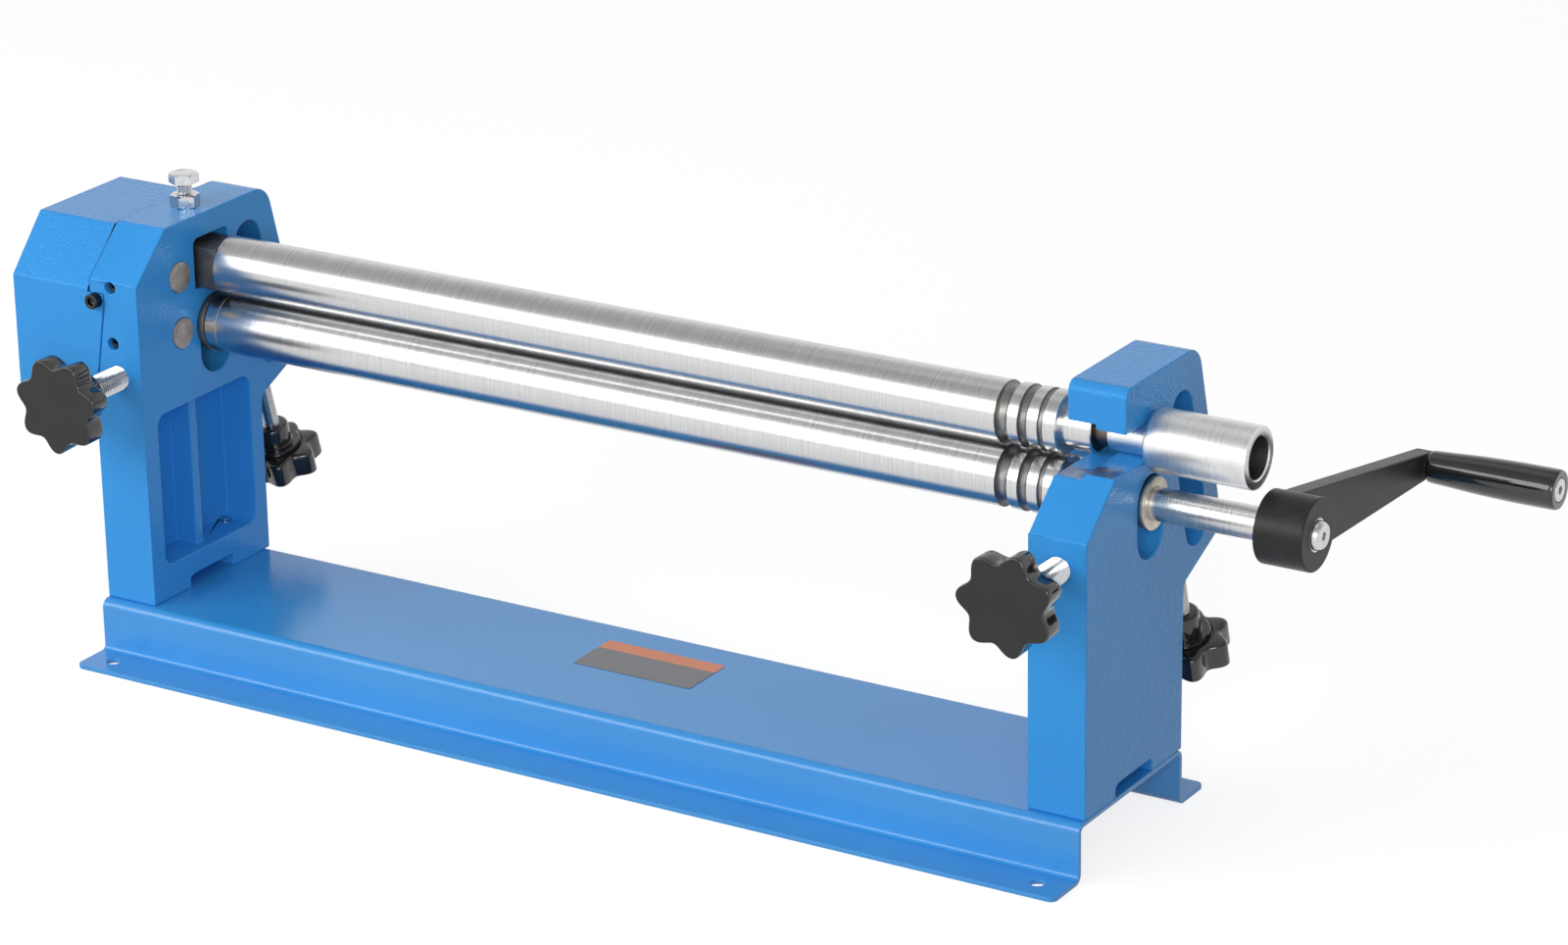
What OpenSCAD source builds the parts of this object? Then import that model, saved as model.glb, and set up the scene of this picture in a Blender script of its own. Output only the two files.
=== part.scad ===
// Bench slip roll machine: two cast frames on a folded base carry two pinch rolls and a rear bending roll.
// X runs along the rolls to the crank, Y from the front to the back, Z up.
// The origin is the centre of the four anchor holes, on the plane that the base stands on.

/* [Base] */
// Width of the base over both flanges
base_w = 190; // [176:1:240]
// Width of the raised channel
channel_w = 130; // [126:1:140]
// Height of the channel
base_h = 37; // [30:1:50]
// Thickness of the folded sheet
sheet_t = 3; // [2:0.5:4]
// Outer radius of the two upper bends
bend_r = 6; // [5:0.5:9]
// Corner radius of the flanges
flange_corner_r = 5; // [3:0.5:12]
// Diameter of the anchor holes
anchor_d = 9; // [6:0.5:12]
// From the end of the base to an anchor hole
anchor_end = 19; // [14:1:40]
// From the flange edge to an anchor hole
anchor_edge = 15; // [10:1:16]

/* [Frames] */
// Clear room between the end of a barrel and a frame
frame_room = 14.5; // [12:0.5:18]
// Thickness of each frame
frame_t = 38; // [36:1:44]
// Step from the channel front to the frame front
front_setback = 7; // [3:1:9]
// Step from the channel rear to the frame rear
rear_setback = 1; // [0:1:3]
// Height of the left frame above the top roll axis
left_head = 34.5; // [33:0.5:42]
// Height of the right frame above the top roll axis
right_head = 38.5; // [34:0.5:46]
// Depth of the bevel at the top front of the left frame
left_bevel_y = 32; // [24:1:34]
// Height of the same bevel
left_bevel_z = 30; // [24:1:34]
// Height of the sloping nose in front of the mouth, below the top roll axis
jaw_drop = 40; // [36:1:44]
// From the frame front to the upper lip of the mouth
lip_setback = 46.5; // [43:0.5:52]
// Rounding of the upper lip
lip_r = 7; // [3:0.5:9]
// Rounding of the top rear corners
crown_r = 16; // [8:1:18]
// Rounding of the rear nose
nose_r = 14; // [6:1:15]
// Rounding under the rear nose
throat_r = 8; // [4:1:12]
// Depth at which the rear nose starts, below the lower roll axis
throat_drop = 66.2; // [63:0.1:74]
// Rise of the underside of the nose, in degrees
throat_angle = 24; // [20:1:26]

/* [Frame pockets] */
// Depth of the pocket in the inner face
pocket_depth = 24; // [18:1:25]
// Wall in front of the pocket
pocket_front = 14; // [10:1:20]
// Wall behind the pocket
pocket_rear = 12; // [10:1:16]
// Thickness of the foot below the pocket
foot_t = 23; // [16:1:30]
// Metal between the pocket and the lower slot
pocket_web = 12; // [8:1:20]
// Corner radius of the pocket
pocket_r = 8; // [4:0.5:10]
// Thickness of the rib in the pocket
rib_t = 7.5; // [5:0.5:10]
// How far the rib stays below the inner face
rib_recess = 8; // [4:1:14]
// From the frame front to the rib
rib_setback = 56; // [50:1:60]
// Width of the notch under the foot
notch_w = 45; // [30:1:50]
// Height of the notch under the foot
notch_h = 8; // [4:0.5:12]

/* [Rolls] */
// Diameter of the three rolls
roll_d = 38; // [36:0.5:40]
// Length of each barrel
barrel_len = 611; // [400:1:1000]
// Open gap between the two pinch rolls
roll_gap = 1.8; // [1.2:0.1:2.4]
// Height of the lower roll axis above the base
low_axis_h = 171.7; // [150:0.1:220]
// Distance of both pinch roll axes behind the middle of the base
roll_y = 20; // [19:0.5:21]
// Diameter of the left journals of the pinch rolls
left_journal_d = 17; // [14:0.5:18]
// Diameter of the gear seats
gear_seat_d = 14; // [11:0.5:14]
// Diameter of the large right journal of the top roll
mouth_journal_d = 28; // [27:0.5:29]
// Diameter of the small right journal of the top roll
lip_journal_d = 22; // [20:0.5:23]
// Diameter of the neck between the two right journals
neck_d = 19; // [15:0.5:19.5]
// Length of the large right journal
journal_len = 20; // [18.5:0.5:21]
// Length of the neck
neck_len = 9; // [7:0.5:10]
// Diameter of the lower roll's drive shaft
drive_d = 20; // [18:0.5:20.5]
// Diameter of the rear roll's journals
rear_journal_d = 16; // [12:0.5:18]
// How much further the lower barrel reaches to the left
low_barrel_extra = 9.5; // [4:0.5:9.5]
// Widths of the three wire grooves
groove_ws = [8.4, 6.4, 3.6];
// Places of the wire grooves, from the right end of the barrel
groove_xs = [36.7, 22.6, 10.8];

/* [Lifting handle] */
// Diameter of the handle at the right end of the top roll
handle_d = 38; // [34:0.5:39]
// Length of the handle
handle_len = 67; // [60:0.5:75]
// Gap between the frame and the handle
handle_gap = 2.1; // [2.1:0.1:3]
// Diameter of the socket in the handle
socket_d = 26; // [20:0.5:28]
// Depth of the socket
socket_depth = 34; // [20:1:50]
// Depth of the drill point below the socket
socket_point = 7; // [3:0.5:9]
// Rounding of the inner end of the handle
handle_round = 4; // [3.5:0.5:5]

/* [Bearings] */
// Width of the top bearing block
block_w = 29; // [27:0.5:29]
// Height of the top bearing block
block_h = 28; // [26:0.5:28.5]
// Width of the window that lets the block swing
window_w = 35.4; // [35.2:0.2:36]
// Free height above the block
window_clear = 5; // [3:0.5:6]
// Width of the two slots of the lower roll
low_slot_w = 31; // [30:0.5:32]
// Depth of the lower slots below the bearings at rest
low_slot_drop = 19; // [17:0.5:21]
// Diameter of the flange of the right lower bush
right_flange_d = 32; // [32:0.5:36]
// Thickness of the flange of the right lower bush
right_flange_t = 3; // [2:0.5:4]
// Diameter of the flange of the left lower bush
left_flange_d = 38.6; // [36:0.2:39]
// Width of the two slots of the rear roll
rear_slot_w = 26; // [24:0.5:27]
// Tilt of the rear slots, in degrees
rear_tilt = 15; // [13:0.5:17]
// Top centre of the rear slots behind the pinch rolls
rear_slot_y = 38.5; // [38:0.5:41]
// Top centre of the rear slots above the top roll axis
rear_slot_z = 3.5; // [0:0.5:6]
// Length of the rear slots between the centres of their round ends
rear_slot_len = 79; // [75:0.5:80]
// Metal behind the rear slots
rear_wall = 17; // [12:0.5:18]
// Place of the rear roll below the top of its slots
rear_rest = 25; // [24:0.5:40]
// Length of the rear bearing blocks
rear_block_len = 29.5; // [20:0.5:32]

/* [Gear train] */
// Module of the gears
gear_module = 2.5; // [2.4:0.05:2.5]
// Teeth on each idler gear
idler_teeth = 15; // [15:1:15]
// Teeth on each roll gear
roll_teeth = 12; // [12:1:12]
// Face width of the gears
gear_w = 18; // [12:1:20]
// From the left frame to the gears
gear_stand = 8; // [7:0.5:12]
// Pressure angle of the teeth
pressure_angle = 25; // [22:0.5:26]
// Play between the teeth at the pitch circle
gear_play = 0.45; // [0.35:0.05:0.6]
// Extra play of the lower roll gear, which lets the roll be lifted
lift_play = 1.35; // [1.3:0.05:1.5]
// Diameter of the idler pins
idler_pin_d = 20; // [16:0.5:20]
// Diameter of the spacing hubs of the idler gears
idler_hub_d = 27; // [26:0.5:30]
// Diameter of the spacing hubs of the roll gears
roll_hub_d = 22; // [19:0.5:23]
// Diameter of the set screws that hold the idler pins
set_screw_d = 8; // [5:0.5:8]
// Thickness of the retaining rings
ring_t = 1.5; // [1:0.25:2.5]
// Width of the retaining rings
ring_w = 3; // [2:0.25:3.5]
// Width of the square keys
key_w = 4; // [3:0.25:4]

/* [Gear cover] */
// Depth of the cover outside the left frame
cover_x = 62; // [58:1:70]
// Wall of the cover
cover_wall = 3; // [2:0.5:4]
// Height of the cover top above the top roll axis
cover_head = 32.5; // [30:0.5:33]
// Height of the cover below the top roll axis
cover_drop = 90.5; // [84:0.5:96]
// Depth of the bevel at the top front of the cover
cover_bevel_y = 31; // [24:1:33]
// Height of the same bevel
cover_bevel_z = 34.5; // [26:0.5:36]
// From the cover front to the cover rear
cover_depth = 115; // [105:1:118]
// Width of the ear that laps over the frame front
ear_w = 11; // [10:0.5:13]
// Top of the ear below the top roll axis
ear_top = 4.5; // [2:0.5:6]
// Height of the straight part of the ear
ear_h = 8; // [7:0.5:12]
// Length of the ear in all
ear_len = 78; // [60:1:82]
// Width of the tab at the rear of the cover
tab_w = 14; // [12:1:16]
// Height of that tab
tab_h = 14; // [12:1:18]
// Size of the cover screws
cover_screw_d = 6; // [4:0.5:6]

/* [Adjusting screws] */
// Diameter of the front studs
front_stud_d = 16; // [12:0.5:16]
// Front studs below the lower roll axis
front_stud_drop = 19.2; // [18.5:0.1:19.6]
// Diameter of the rear studs
rear_stud_d = 12; // [10:0.5:14]
// Greatest radius of the front knobs
front_knob_r = 31.5; // [28:0.5:34]
// Greatest radius of the rear knobs
rear_knob_r = 29.5; // [26:0.5:32]
// Height of a lobe of the star knobs
lobe_h = 6.5; // [4:0.5:8]
// Number of lobes
lobes = 7; // [5:1:9]
// Thickness of the star
star_t = 16; // [13:0.5:20]
// Thickness of the ring behind the star
collar_t = 3; // [2:0.5:4]
// Width of that ring around the boss
collar_w = 5.5; // [2:0.5:6]
// Length of the boss of the knobs
boss_len = 14; // [10:0.5:17]
// Wall of the boss around the stud
boss_wall = 5.5; // [3:0.5:6]
// From the frame front to the face of the front knobs
front_reach = 63; // [58:0.5:72]
// From the top of the rear slots to the face of the rear knobs
rear_reach = 179.5; // [176:0.5:190]
// Height of the thrust pads of the rear studs
pad_h = 4; // [3:0.5:6]
// Half angle of the thrust cones of the front studs
cone_half = 30; // [29:1:31]
// Radius of the blunt end of the thrust cones
cone_tip_r = 1.5; // [1:0.25:2.5]
// Greatest radius of the thrust cones
cone_r = 7.2; // [6.4:0.1:7.4]

/* [Swing bolt] */
// Diameter of the bolt on which the top block swings
swing_d = 10; // [8:0.5:12]
// Width of its head and nut across the flats
swing_flats = 17; // [15:0.5:19]
// Height of its head
swing_head_h = 6.5; // [5:0.5:8]
// Thickness of its jam nut
swing_nut_t = 8; // [5:0.5:9]
// Bare thread between the nut and the head
swing_bare = 7.5; // [3:0.5:12]
// Diameter of the dog point in the block
dog_d = 7; // [5:0.5:8]
// Depth of the hole for the dog point
dog_depth = 3.4; // [2.5:0.1:3.6]

/* [Crank] */
// Distance from the drive shaft to the grip
crank_r = 184; // [150:1:190]
// Angle of the crank below the level, in degrees
crank_angle = 6.2; // [0:0.1:20]
// Diameter of the hub
hub_d = 44; // [36:0.5:46]
// Length of the hub
hub_len = 31; // [24:0.5:36]
// From the right frame to the hub
hub_reach = 76; // [76:0.5:90]
// Thickness of the arm
arm_t = 11.5; // [9:0.5:14]
// Step from the hub's inner end to the arm
arm_step = 4.5; // [1:0.5:8]
// Height of the arm at the hub
arm_root_h = 42.5; // [30:0.5:43]
// Height of the arm at its end
arm_end_h = 15; // [13:0.5:24]
// Arm beyond the grip
arm_over = 9; // [7:0.5:12]
// Length of the grip
grip_len = 84; // [70:1:100]
// Diameter of the grip at the arm
grip_root_d = 20; // [18:0.5:22]
// Greatest diameter of the grip
grip_d = 25; // [22:0.5:28]
// Diameter of the grip spindle
spindle_d = 8; // [6:0.5:8]
// Diameter of the spindle head
spindle_head_d = 14.5; // [12:0.5:15]
// Thickness of the spindle head
spindle_head_t = 3; // [2:0.5:4]
// Diameter of the crank screw's head
crank_screw_head_d = 18; // [14:0.5:19]
// Height of the crank screw's head
crank_screw_head_h = 4; // [3:0.5:6]
// Thread of the crank screw
crank_screw_d = 8; // [6:0.5:8]

/* [Frame bolts] */
// Thread of the bolts that hold the frames to the base
frame_bolt_d = 8; // [6:0.5:10]
// Width of their heads across the flats
frame_bolt_flats = 13; // [10:0.5:15]
// Height of their heads
frame_bolt_head = 5.3; // [4:0.1:7]
// Diameter of their washers
washer_d = 16; // [15:0.5:19]
// Thickness of their washers
washer_t = 1.6; // [1:0.1:2.5]
// From the frame front to the front bolts
bolt_front = 21; // [18:0.5:24]
// From the frame rear to the rear bolts
bolt_rear = 21; // [18:0.5:24]

/* [Clearances] */
// Radial play of a shaft in its bearing
run_fit = 0.05; // [0.02:0.01:0.09]
// Radial play of a part that is keyed or screwed on a shaft
seat_fit = 0.02; // [0.01:0.01:0.05]
// Play of a sliding block in its slot
slide_fit = 0.2; // [0.15:0.01:0.25]
// Gap between two faces that don't touch
face_gap = 0.3; // [0.2:0.05:0.4]
// Gap across the travel of the lifting cones
cone_gap = 0.1; // [0.05:0.01:0.15]

/* [Hidden] */
$fn = 64;

// Overrun of every cut past the face that it opens
over = 1;
// Steps of a rounded corner, of a knob outline and of a gear flank
corner_steps = 8;
lobe_steps = 12;
flank_steps = 3;
// Rounding of small edges on the frames
edge_r = 2.5;

// Heights and depths of the frame
front_y = -channel_w / 2 + front_setback;
rear_y = channel_w / 2 - rear_setback;
foot_z = base_h;
low_z = base_h + low_axis_h;
top_z = low_z + roll_d + roll_gap;
left_top = top_z + left_head;
right_top = top_z + right_head;
roll_r = roll_d / 2;

// Places along the rolls
barrel_x = barrel_len / 2;
inner_x = barrel_x + frame_room;
outer_x = inner_x + frame_t;
mid_x = inner_x + frame_t / 2;

// The rear slot: its line runs down and back from its top centre
slot_top = [roll_y + rear_slot_y, top_z + rear_slot_z];
slot_dir = [sin(rear_tilt), -cos(rear_tilt)];
function along_slot(s) = slot_top + s * slot_dir;
rear_edge_off = rear_slot_w / 2 + rear_wall;
function rear_edge_y(z) = slot_top[0] + (slot_top[1] - z) * tan(rear_tilt) + rear_edge_off / cos(rear_tilt);
throat_z = low_z - throat_drop;
// The nose corner is where the rear edge meets the underside
nose_z = (throat_z + (rear_edge_y(0) - rear_y) * tan(throat_angle)) / (1 + tan(rear_tilt) * tan(throat_angle));
nose_y = rear_edge_y(nose_z);

// Bearings of the lower roll
low_bush_r = low_slot_w / 2 - slide_fit;
low_slot_r = low_slot_w / 2;
lift_up = 1.2;
low_slot_top = low_z + lift_up + face_gap;
low_slot_bottom = low_z - low_slot_drop;

// Window of the top block
window_bottom = top_z - block_h / 2 - face_gap;
window_top = top_z + block_h / 2 + window_clear;
window_r = 4;
block_left = frame_t / 2 - 2;
block_edge = 1.2;

// Mouth of the right frame: its wide part takes the large journal
mouth_half = mouth_journal_d / 2 + face_gap;
lip_half = lip_journal_d / 2 + face_gap;
mouth_step = inner_x + frame_t * 0.48;

// Gear train
idler_pitch_r = gear_module * idler_teeth / 2;
roll_pitch_r = gear_module * roll_teeth / 2;
addendum_share = 0.8;
low_addendum_share = 0.5;
dedendum_share = 1.05;
tooth_w = PI * gear_module / 2 - gear_play / 2;
low_tooth_w = tooth_w - lift_play;
train_mid_z = (top_z + low_z) / 2;
upper_idler_z = train_mid_z + idler_pitch_r;
lower_idler_z = train_mid_z - idler_pitch_r;
idler_rise = top_z - upper_idler_z;
idler_y = roll_y - sqrt(pow(idler_pitch_r + roll_pitch_r, 2) - idler_rise * idler_rise);
gear_x = -outer_x - gear_stand - gear_w;
lift_mid = 0.4;
idler_pin_proud = 1;
gear_end = gear_x - face_gap - ring_t;
pin_end = gear_end - 2;

// Adjusting screws
front_stud_z = low_z - front_stud_drop;
front_stud_r = front_stud_d / 2;
rear_stud_r = rear_stud_d / 2;
knob_face_y = front_y - front_reach;
// The cone runs just clear of the bush along the whole lift
cone_apex_y = roll_y + (low_z - front_stud_z) / tan(cone_half) - (low_bush_r + cone_gap) / sin(cone_half);
cone_base_y = cone_apex_y - cone_r / tan(cone_half);
cone_blunt_y = cone_apex_y - cone_tip_r / tan(cone_half);
cone_shank = 3;
rear_block_r = rear_slot_w / 2 - slide_fit;
rear_pad_top = rear_rest + rear_block_r + face_gap;
knob_bore = star_t - 6;
// How far each knob happens to be turned
left_front_phase = -11.6;
right_front_phase = -23.4;
rear_phase = 0;

// Ends and edges of the rolls, and the fine line round the lower barrel
roll_edge = 1;
line_r = 0.4;
left_journal_end = -outer_x + 1;

// Screws that hold the idler pins, beside and above the pin axes
set_off = 2.3;
set_rise = 2;

// Cover
cover_rear = front_y + cover_depth;
cover_top = top_z + cover_head;
cover_bottom = top_z - cover_drop;
cover_screw_len = 14;
front_screw_z = top_z - ear_top - ear_h / 2;
tab_y = cover_rear + tab_w / 2;
tab_z = cover_top - tab_h / 2;

// Crank
crank_thread = 22;
hub_x = outer_x + hub_reach;
arm_x = hub_x + arm_step;
grip_gap = 1.5;
grip_x = arm_x + arm_t + grip_gap;
key_len = 14;
key_start = -outer_x - gear_stand - key_len - 2;

// Outline helpers: each row is a corner [y, z, radius]
function unit(v) = v / norm(v);
function corner_half(a, p, b) = acos(unit(a - p) * unit(b - p)) / 2;
function corner_mid(a, p, b, r) = p + unit(unit(a - p) + unit(b - p)) * r / sin(corner_half(a, p, b));
function corner_foot(p, q, a, b, r) = p + unit(q - p) * r / tan(corner_half(a, p, b));
function turn(u, w) = let (d = atan2(w[1], w[0]) - atan2(u[1], u[0])) d > 180 ? d - 360 : d < -180 ? d + 360 : d;
function corner_arc(a, p, b, r) =
    let (c = corner_mid(a, p, b, r), u = corner_foot(p, a, a, b, r) - c, w = corner_foot(p, b, a, b, r) - c,
         start = atan2(u[1], u[0]), sweep = turn(u, w))
    [for (k = [0:corner_steps]) c + r * [cos(start + sweep * k / corner_steps), sin(start + sweep * k / corner_steps)]];
function flat(row) = [row[0], row[1]];
function rounded(rows) = [for (i = [0:len(rows) - 1])
    let (n = len(rows), a = flat(rows[(i + n - 1) % n]), p = flat(rows[i]), b = flat(rows[(i + 1) % n]), r = rows[i][2])
    each (r == 0 ? [p] : corner_arc(a, p, b, r))];

// A profile drawn in Y and Z, extruded along X from one place to another
module along_x(x0, x1) {
    translate([x0, 0, 0])
        rotate([90, 0, 90])
            linear_extrude(height = x1 - x0)
                children();
}

// A round bar along X
module bar_x(x0, x1, r, y = 0, z = 0) {
    translate([x0, y, z])
        rotate([0, 90, 0])
            cylinder(h = x1 - x0, r = r);
}

// Turned shape around X: rows are [x, radius]
module turned_x(rows, y, z) {
    translate([0, y, z])
        rotate([0, 90, 0])
            rotate_extrude()
                polygon([for (row = concat([[rows[0][0], 0]], rows, [[rows[len(rows) - 1][0], 0]])) [row[1], row[0]]]);
}

// Places something on the line of the rear slot, with its own +Z pointing up that line
module on_slot(x, s) {
    translate([x, along_slot(s)[0], along_slot(s)[1]])
        rotate([rear_tilt, 0, 0])
            children();
}

module hex_prism(flats, h) {
    cylinder(h = h, d = flats / cos(30), $fn = 6);
}

// Base

module base_profile() {
    half = channel_w / 2;
    polygon(rounded([
        [-base_w / 2, 0, 0], [-base_w / 2, sheet_t, 0],
        [-half, sheet_t, sheet_t], [-half, base_h, bend_r],
        [half, base_h, bend_r], [half, sheet_t, sheet_t],
        [base_w / 2, sheet_t, 0], [base_w / 2, 0, 0],
        [half - sheet_t, 0, sheet_t * 2], [half - sheet_t, base_h - sheet_t, bend_r - sheet_t],
        [-half + sheet_t, base_h - sheet_t, bend_r - sheet_t], [-half + sheet_t, 0, sheet_t * 2]
    ]));
}

module base_plan() {
    polygon(rounded([
        [-outer_x, -base_w / 2, flange_corner_r], [outer_x, -base_w / 2, flange_corner_r],
        [outer_x, base_w / 2, flange_corner_r], [-outer_x, base_w / 2, flange_corner_r]
    ]));
}

module anchor_places() {
    for (sx = [-1, 1], sy = [-1, 1])
        translate([sx * (outer_x - anchor_end), sy * (base_w / 2 - anchor_edge), 0])
            children();
}

module frame_bolt_places() {
    for (sx = [-1, 1], y = [front_y + bolt_front, rear_y - bolt_rear])
        translate([sx * mid_x, y, 0])
            children();
}

module base_plate() {
    color("dodgerblue")
        difference() {
            intersection() {
                along_x(-outer_x, outer_x)
                    base_profile();
                linear_extrude(height = base_h)
                    base_plan();
            }
            anchor_places()
                translate([0, 0, -over])
                    cylinder(h = sheet_t + 2 * over, d = anchor_d);
            frame_bolt_places()
                translate([0, 0, base_h - sheet_t - over])
                    cylinder(h = sheet_t + 2 * over, d = frame_bolt_d + 2 * face_gap);
        }
}

// Frames

function frame_rear_rows(top) = [
    [rear_edge_y(top), top, crown_r],
    [nose_y, nose_z, nose_r],
    [rear_y, throat_z, throat_r],
    [rear_y, foot_z, 0]
];

module left_outline() {
    polygon(rounded(concat([
        [front_y, foot_z, 0],
        [front_y, left_top - left_bevel_z, edge_r],
        [front_y + left_bevel_y, left_top, edge_r]
    ], frame_rear_rows(left_top))));
}

module right_outline() {
    polygon(rounded(concat([
        [front_y, foot_z, 0],
        [front_y, top_z - jaw_drop, edge_r],
        [front_y + lip_setback, top_z, 0],
        [front_y + lip_setback, right_top, lip_r]
    ], frame_rear_rows(right_top))));
}

module low_slot_shape() {
    translate([roll_y, low_slot_bottom])
        circle(r = low_slot_r);
    translate([roll_y - low_slot_r, low_slot_bottom])
        square([low_slot_w, low_slot_top - low_slot_bottom]);
    translate([roll_y, low_slot_top])
        circle(r = low_slot_r);
}

module pocket_shape() {
    y0 = front_y + pocket_front;
    y1 = rear_y - pocket_rear;
    z0 = foot_z + foot_t;
    z1 = low_slot_bottom - low_slot_r - pocket_web;
    polygon(rounded([[y0, z0, pocket_r], [y1, z0, pocket_r], [y1, z1, pocket_r], [y0, z1, pocket_r]]));
}

// Everything that both frames have, for a frame whose inner face lies at -inner_x
module frame_cuts() {
    along_x(-outer_x - over, -inner_x + over)
        low_slot_shape();
    rear_slot_cut();
    difference() {
        along_x(-inner_x - pocket_depth, -inner_x + over)
            pocket_shape();
        translate([-inner_x - pocket_depth - over, front_y + rib_setback, foot_z])
            cube([pocket_depth + over - rib_recess, rib_t, low_slot_bottom - foot_z]);
    }
    notch_mid = (front_y + rear_y) / 2;
    along_x(-outer_x - over, -inner_x + over)
        polygon(rounded([
            [notch_mid - notch_w / 2, foot_z - over, 0], [notch_mid + notch_w / 2, foot_z - over, 0],
            [notch_mid + notch_w / 2, foot_z + notch_h, edge_r], [notch_mid - notch_w / 2, foot_z + notch_h, edge_r]
        ]));
    // Front stud hole, rear stud hole and the holes of the frame bolts
    translate([-mid_x, front_y - over, front_stud_z])
        rotate([-90, 0, 0])
            cylinder(h = roll_y - front_y, r = front_stud_r + run_fit);
    on_slot(-mid_x, rear_reach)
        cylinder(h = rear_reach - rear_slot_len, r = rear_stud_r + run_fit);
    for (y = [front_y + bolt_front, rear_y - bolt_rear])
        translate([-mid_x, y, foot_z - over])
            cylinder(h = foot_t + 2 * over, d = frame_bolt_d + 2 * run_fit);
}

module rear_slot_cut() {
    translate([-outer_x - over, slot_top[0], slot_top[1]])
        rotate([rear_tilt, 0, 0])
            rotate([90, 0, 90])
                linear_extrude(height = frame_t + 2 * over) {
                    circle(d = rear_slot_w);
                    translate([-rear_slot_w / 2, -rear_slot_len])
                        square([rear_slot_w, rear_slot_len]);
                    translate([0, -rear_slot_len])
                        circle(d = rear_slot_w);
                }
}

// The ear of the cover and the recess for it in the frame front, as X and Z
module ear_shape(play) {
    z1 = top_z - ear_top;
    polygon([
        [-outer_x - cover_wall, z1 + play],
        [-outer_x + ear_w + play, z1 + play],
        [-outer_x + ear_w + play, z1 - ear_h],
        [-outer_x + ear_w / 3 + play, z1 - ear_len * 0.7],
        [-outer_x + play, z1 - ear_len - play],
        [-outer_x - cover_wall, z1 - ear_len - play]
    ]);
}

module left_frame() {
    color("dodgerblue")
        difference() {
            along_x(-outer_x, -inner_x)
                left_outline();
            frame_cuts();
            // Window of the swinging block
            along_x(-outer_x - over, -inner_x + over)
                polygon(rounded([
                    [roll_y - window_w / 2, window_bottom, 0], [roll_y + window_w / 2, window_bottom, 0],
                    [roll_y + window_w / 2, window_top, window_r], [roll_y - window_w / 2, window_top, window_r]
                ]));
            translate([-mid_x, roll_y, window_top - over])
                cylinder(h = left_top - window_top + 2 * over, d = swing_d + 2 * run_fit);
            // Idler pins and the screws that hold them
            for (z = [upper_idler_z, lower_idler_z]) {
                bar_x(-outer_x - over, -inner_x + over, idler_pin_d / 2 + seat_fit, idler_y, z);
                translate([-mid_x - set_off, front_y - over, z + set_rise])
                    rotate([-90, 0, 0])
                        cylinder(h = idler_y - front_y, d = set_screw_d + 2 * run_fit);
            }
            // Recess and thread of the cover's front screw, and the thread of the rear one
            translate([0, front_y + cover_wall, 0])
                rotate([90, 0, 0])
                    linear_extrude(height = cover_wall + over)
                        ear_shape(face_gap);
            translate([-outer_x + ear_w / 2, front_y - over, front_screw_z])
                rotate([-90, 0, 0])
                    cylinder(h = cover_screw_len + over, d = cover_screw_d + 2 * seat_fit);
            bar_x(-outer_x - over, -outer_x + cover_screw_len - cover_wall, cover_screw_d / 2 + seat_fit, tab_y, tab_z);
        }
}

module right_frame() {
    color("dodgerblue")
        difference() {
            along_x(inner_x, outer_x)
                right_outline();
            mirror([1, 0, 0])
                frame_cuts();
            mouth_cut(inner_x - over, mouth_step, mouth_half);
            mouth_cut(mouth_step - over, outer_x + over, lip_half);
        }
}

// A mouth that is open to the front and round at the back
module mouth_cut(x0, x1, half) {
    bar_x(x0, x1, half, roll_y, top_z);
    translate([x0, front_y - over, top_z - half])
        cube([x1 - x0, roll_y - front_y + over, 2 * half]);
}

// Cover

module cover_outline(inset) {
    polygon(rounded([
        [front_y + inset, cover_bottom + inset, edge_r],
        [front_y + inset, cover_top - cover_bevel_z - inset * 0.4, edge_r],
        [front_y + cover_bevel_y + inset * 0.4, cover_top - inset, edge_r],
        [cover_rear - inset, cover_top - inset, edge_r],
        [cover_rear - inset, cover_bottom + inset, edge_r]
    ]));
}

module gear_cover() {
    color("dodgerblue") {
        difference() {
            union() {
                difference() {
                    along_x(-outer_x - cover_x, -outer_x)
                        cover_outline(0);
                    along_x(-outer_x - cover_x + cover_wall, -outer_x + over)
                        cover_outline(cover_wall);
                }
                translate([0, front_y + cover_wall, 0])
                    rotate([90, 0, 0])
                        linear_extrude(height = cover_wall)
                            ear_shape(0);
                translate([-outer_x - cover_wall, cover_rear - cover_wall, cover_top - tab_h])
                    cube([cover_wall, tab_w + cover_wall, tab_h]);
            }
            translate([-outer_x + ear_w / 2, front_y - over, front_screw_z])
                rotate([-90, 0, 0])
                    cylinder(h = cover_wall + 2 * over, d = cover_screw_d + 2 * face_gap);
            bar_x(-outer_x - cover_wall - over, -outer_x + over, cover_screw_d / 2 + face_gap, tab_y, tab_z);
        }
    }
}

// A socket head cap screw with its head resting on the plane z = 0 and its shank pointing down
module cap_screw(d, len) {
    head_d = d * 1.65;
    difference() {
        union() {
            cylinder(h = d, d = head_d);
            translate([0, 0, -len])
                cylinder(h = len + d / 2, d = d);
        }
        translate([0, 0, d / 2])
            hex_prism(d * 0.83, d);
    }
}

module cover_screws() {
    color("dimgray") {
        translate([-outer_x + ear_w / 2, front_y, front_screw_z])
            rotate([90, 0, 0])
                cap_screw(cover_screw_d, cover_screw_len);
        translate([-outer_x - cover_wall, tab_y, tab_z])
            rotate([0, -90, 0])
                cap_screw(cover_screw_d, cover_screw_len);
    }
}

// Rolls

// A ring-shaped cut for each wire groove
module wire_grooves(y, z) {
    for (i = [0:len(groove_ws) - 1])
        translate([barrel_x - groove_xs[i], y, z])
            rotate([0, 90, 0])
                rotate_extrude()
                    translate([roll_r, 0])
                        circle(d = groove_ws[i]);
}

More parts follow.
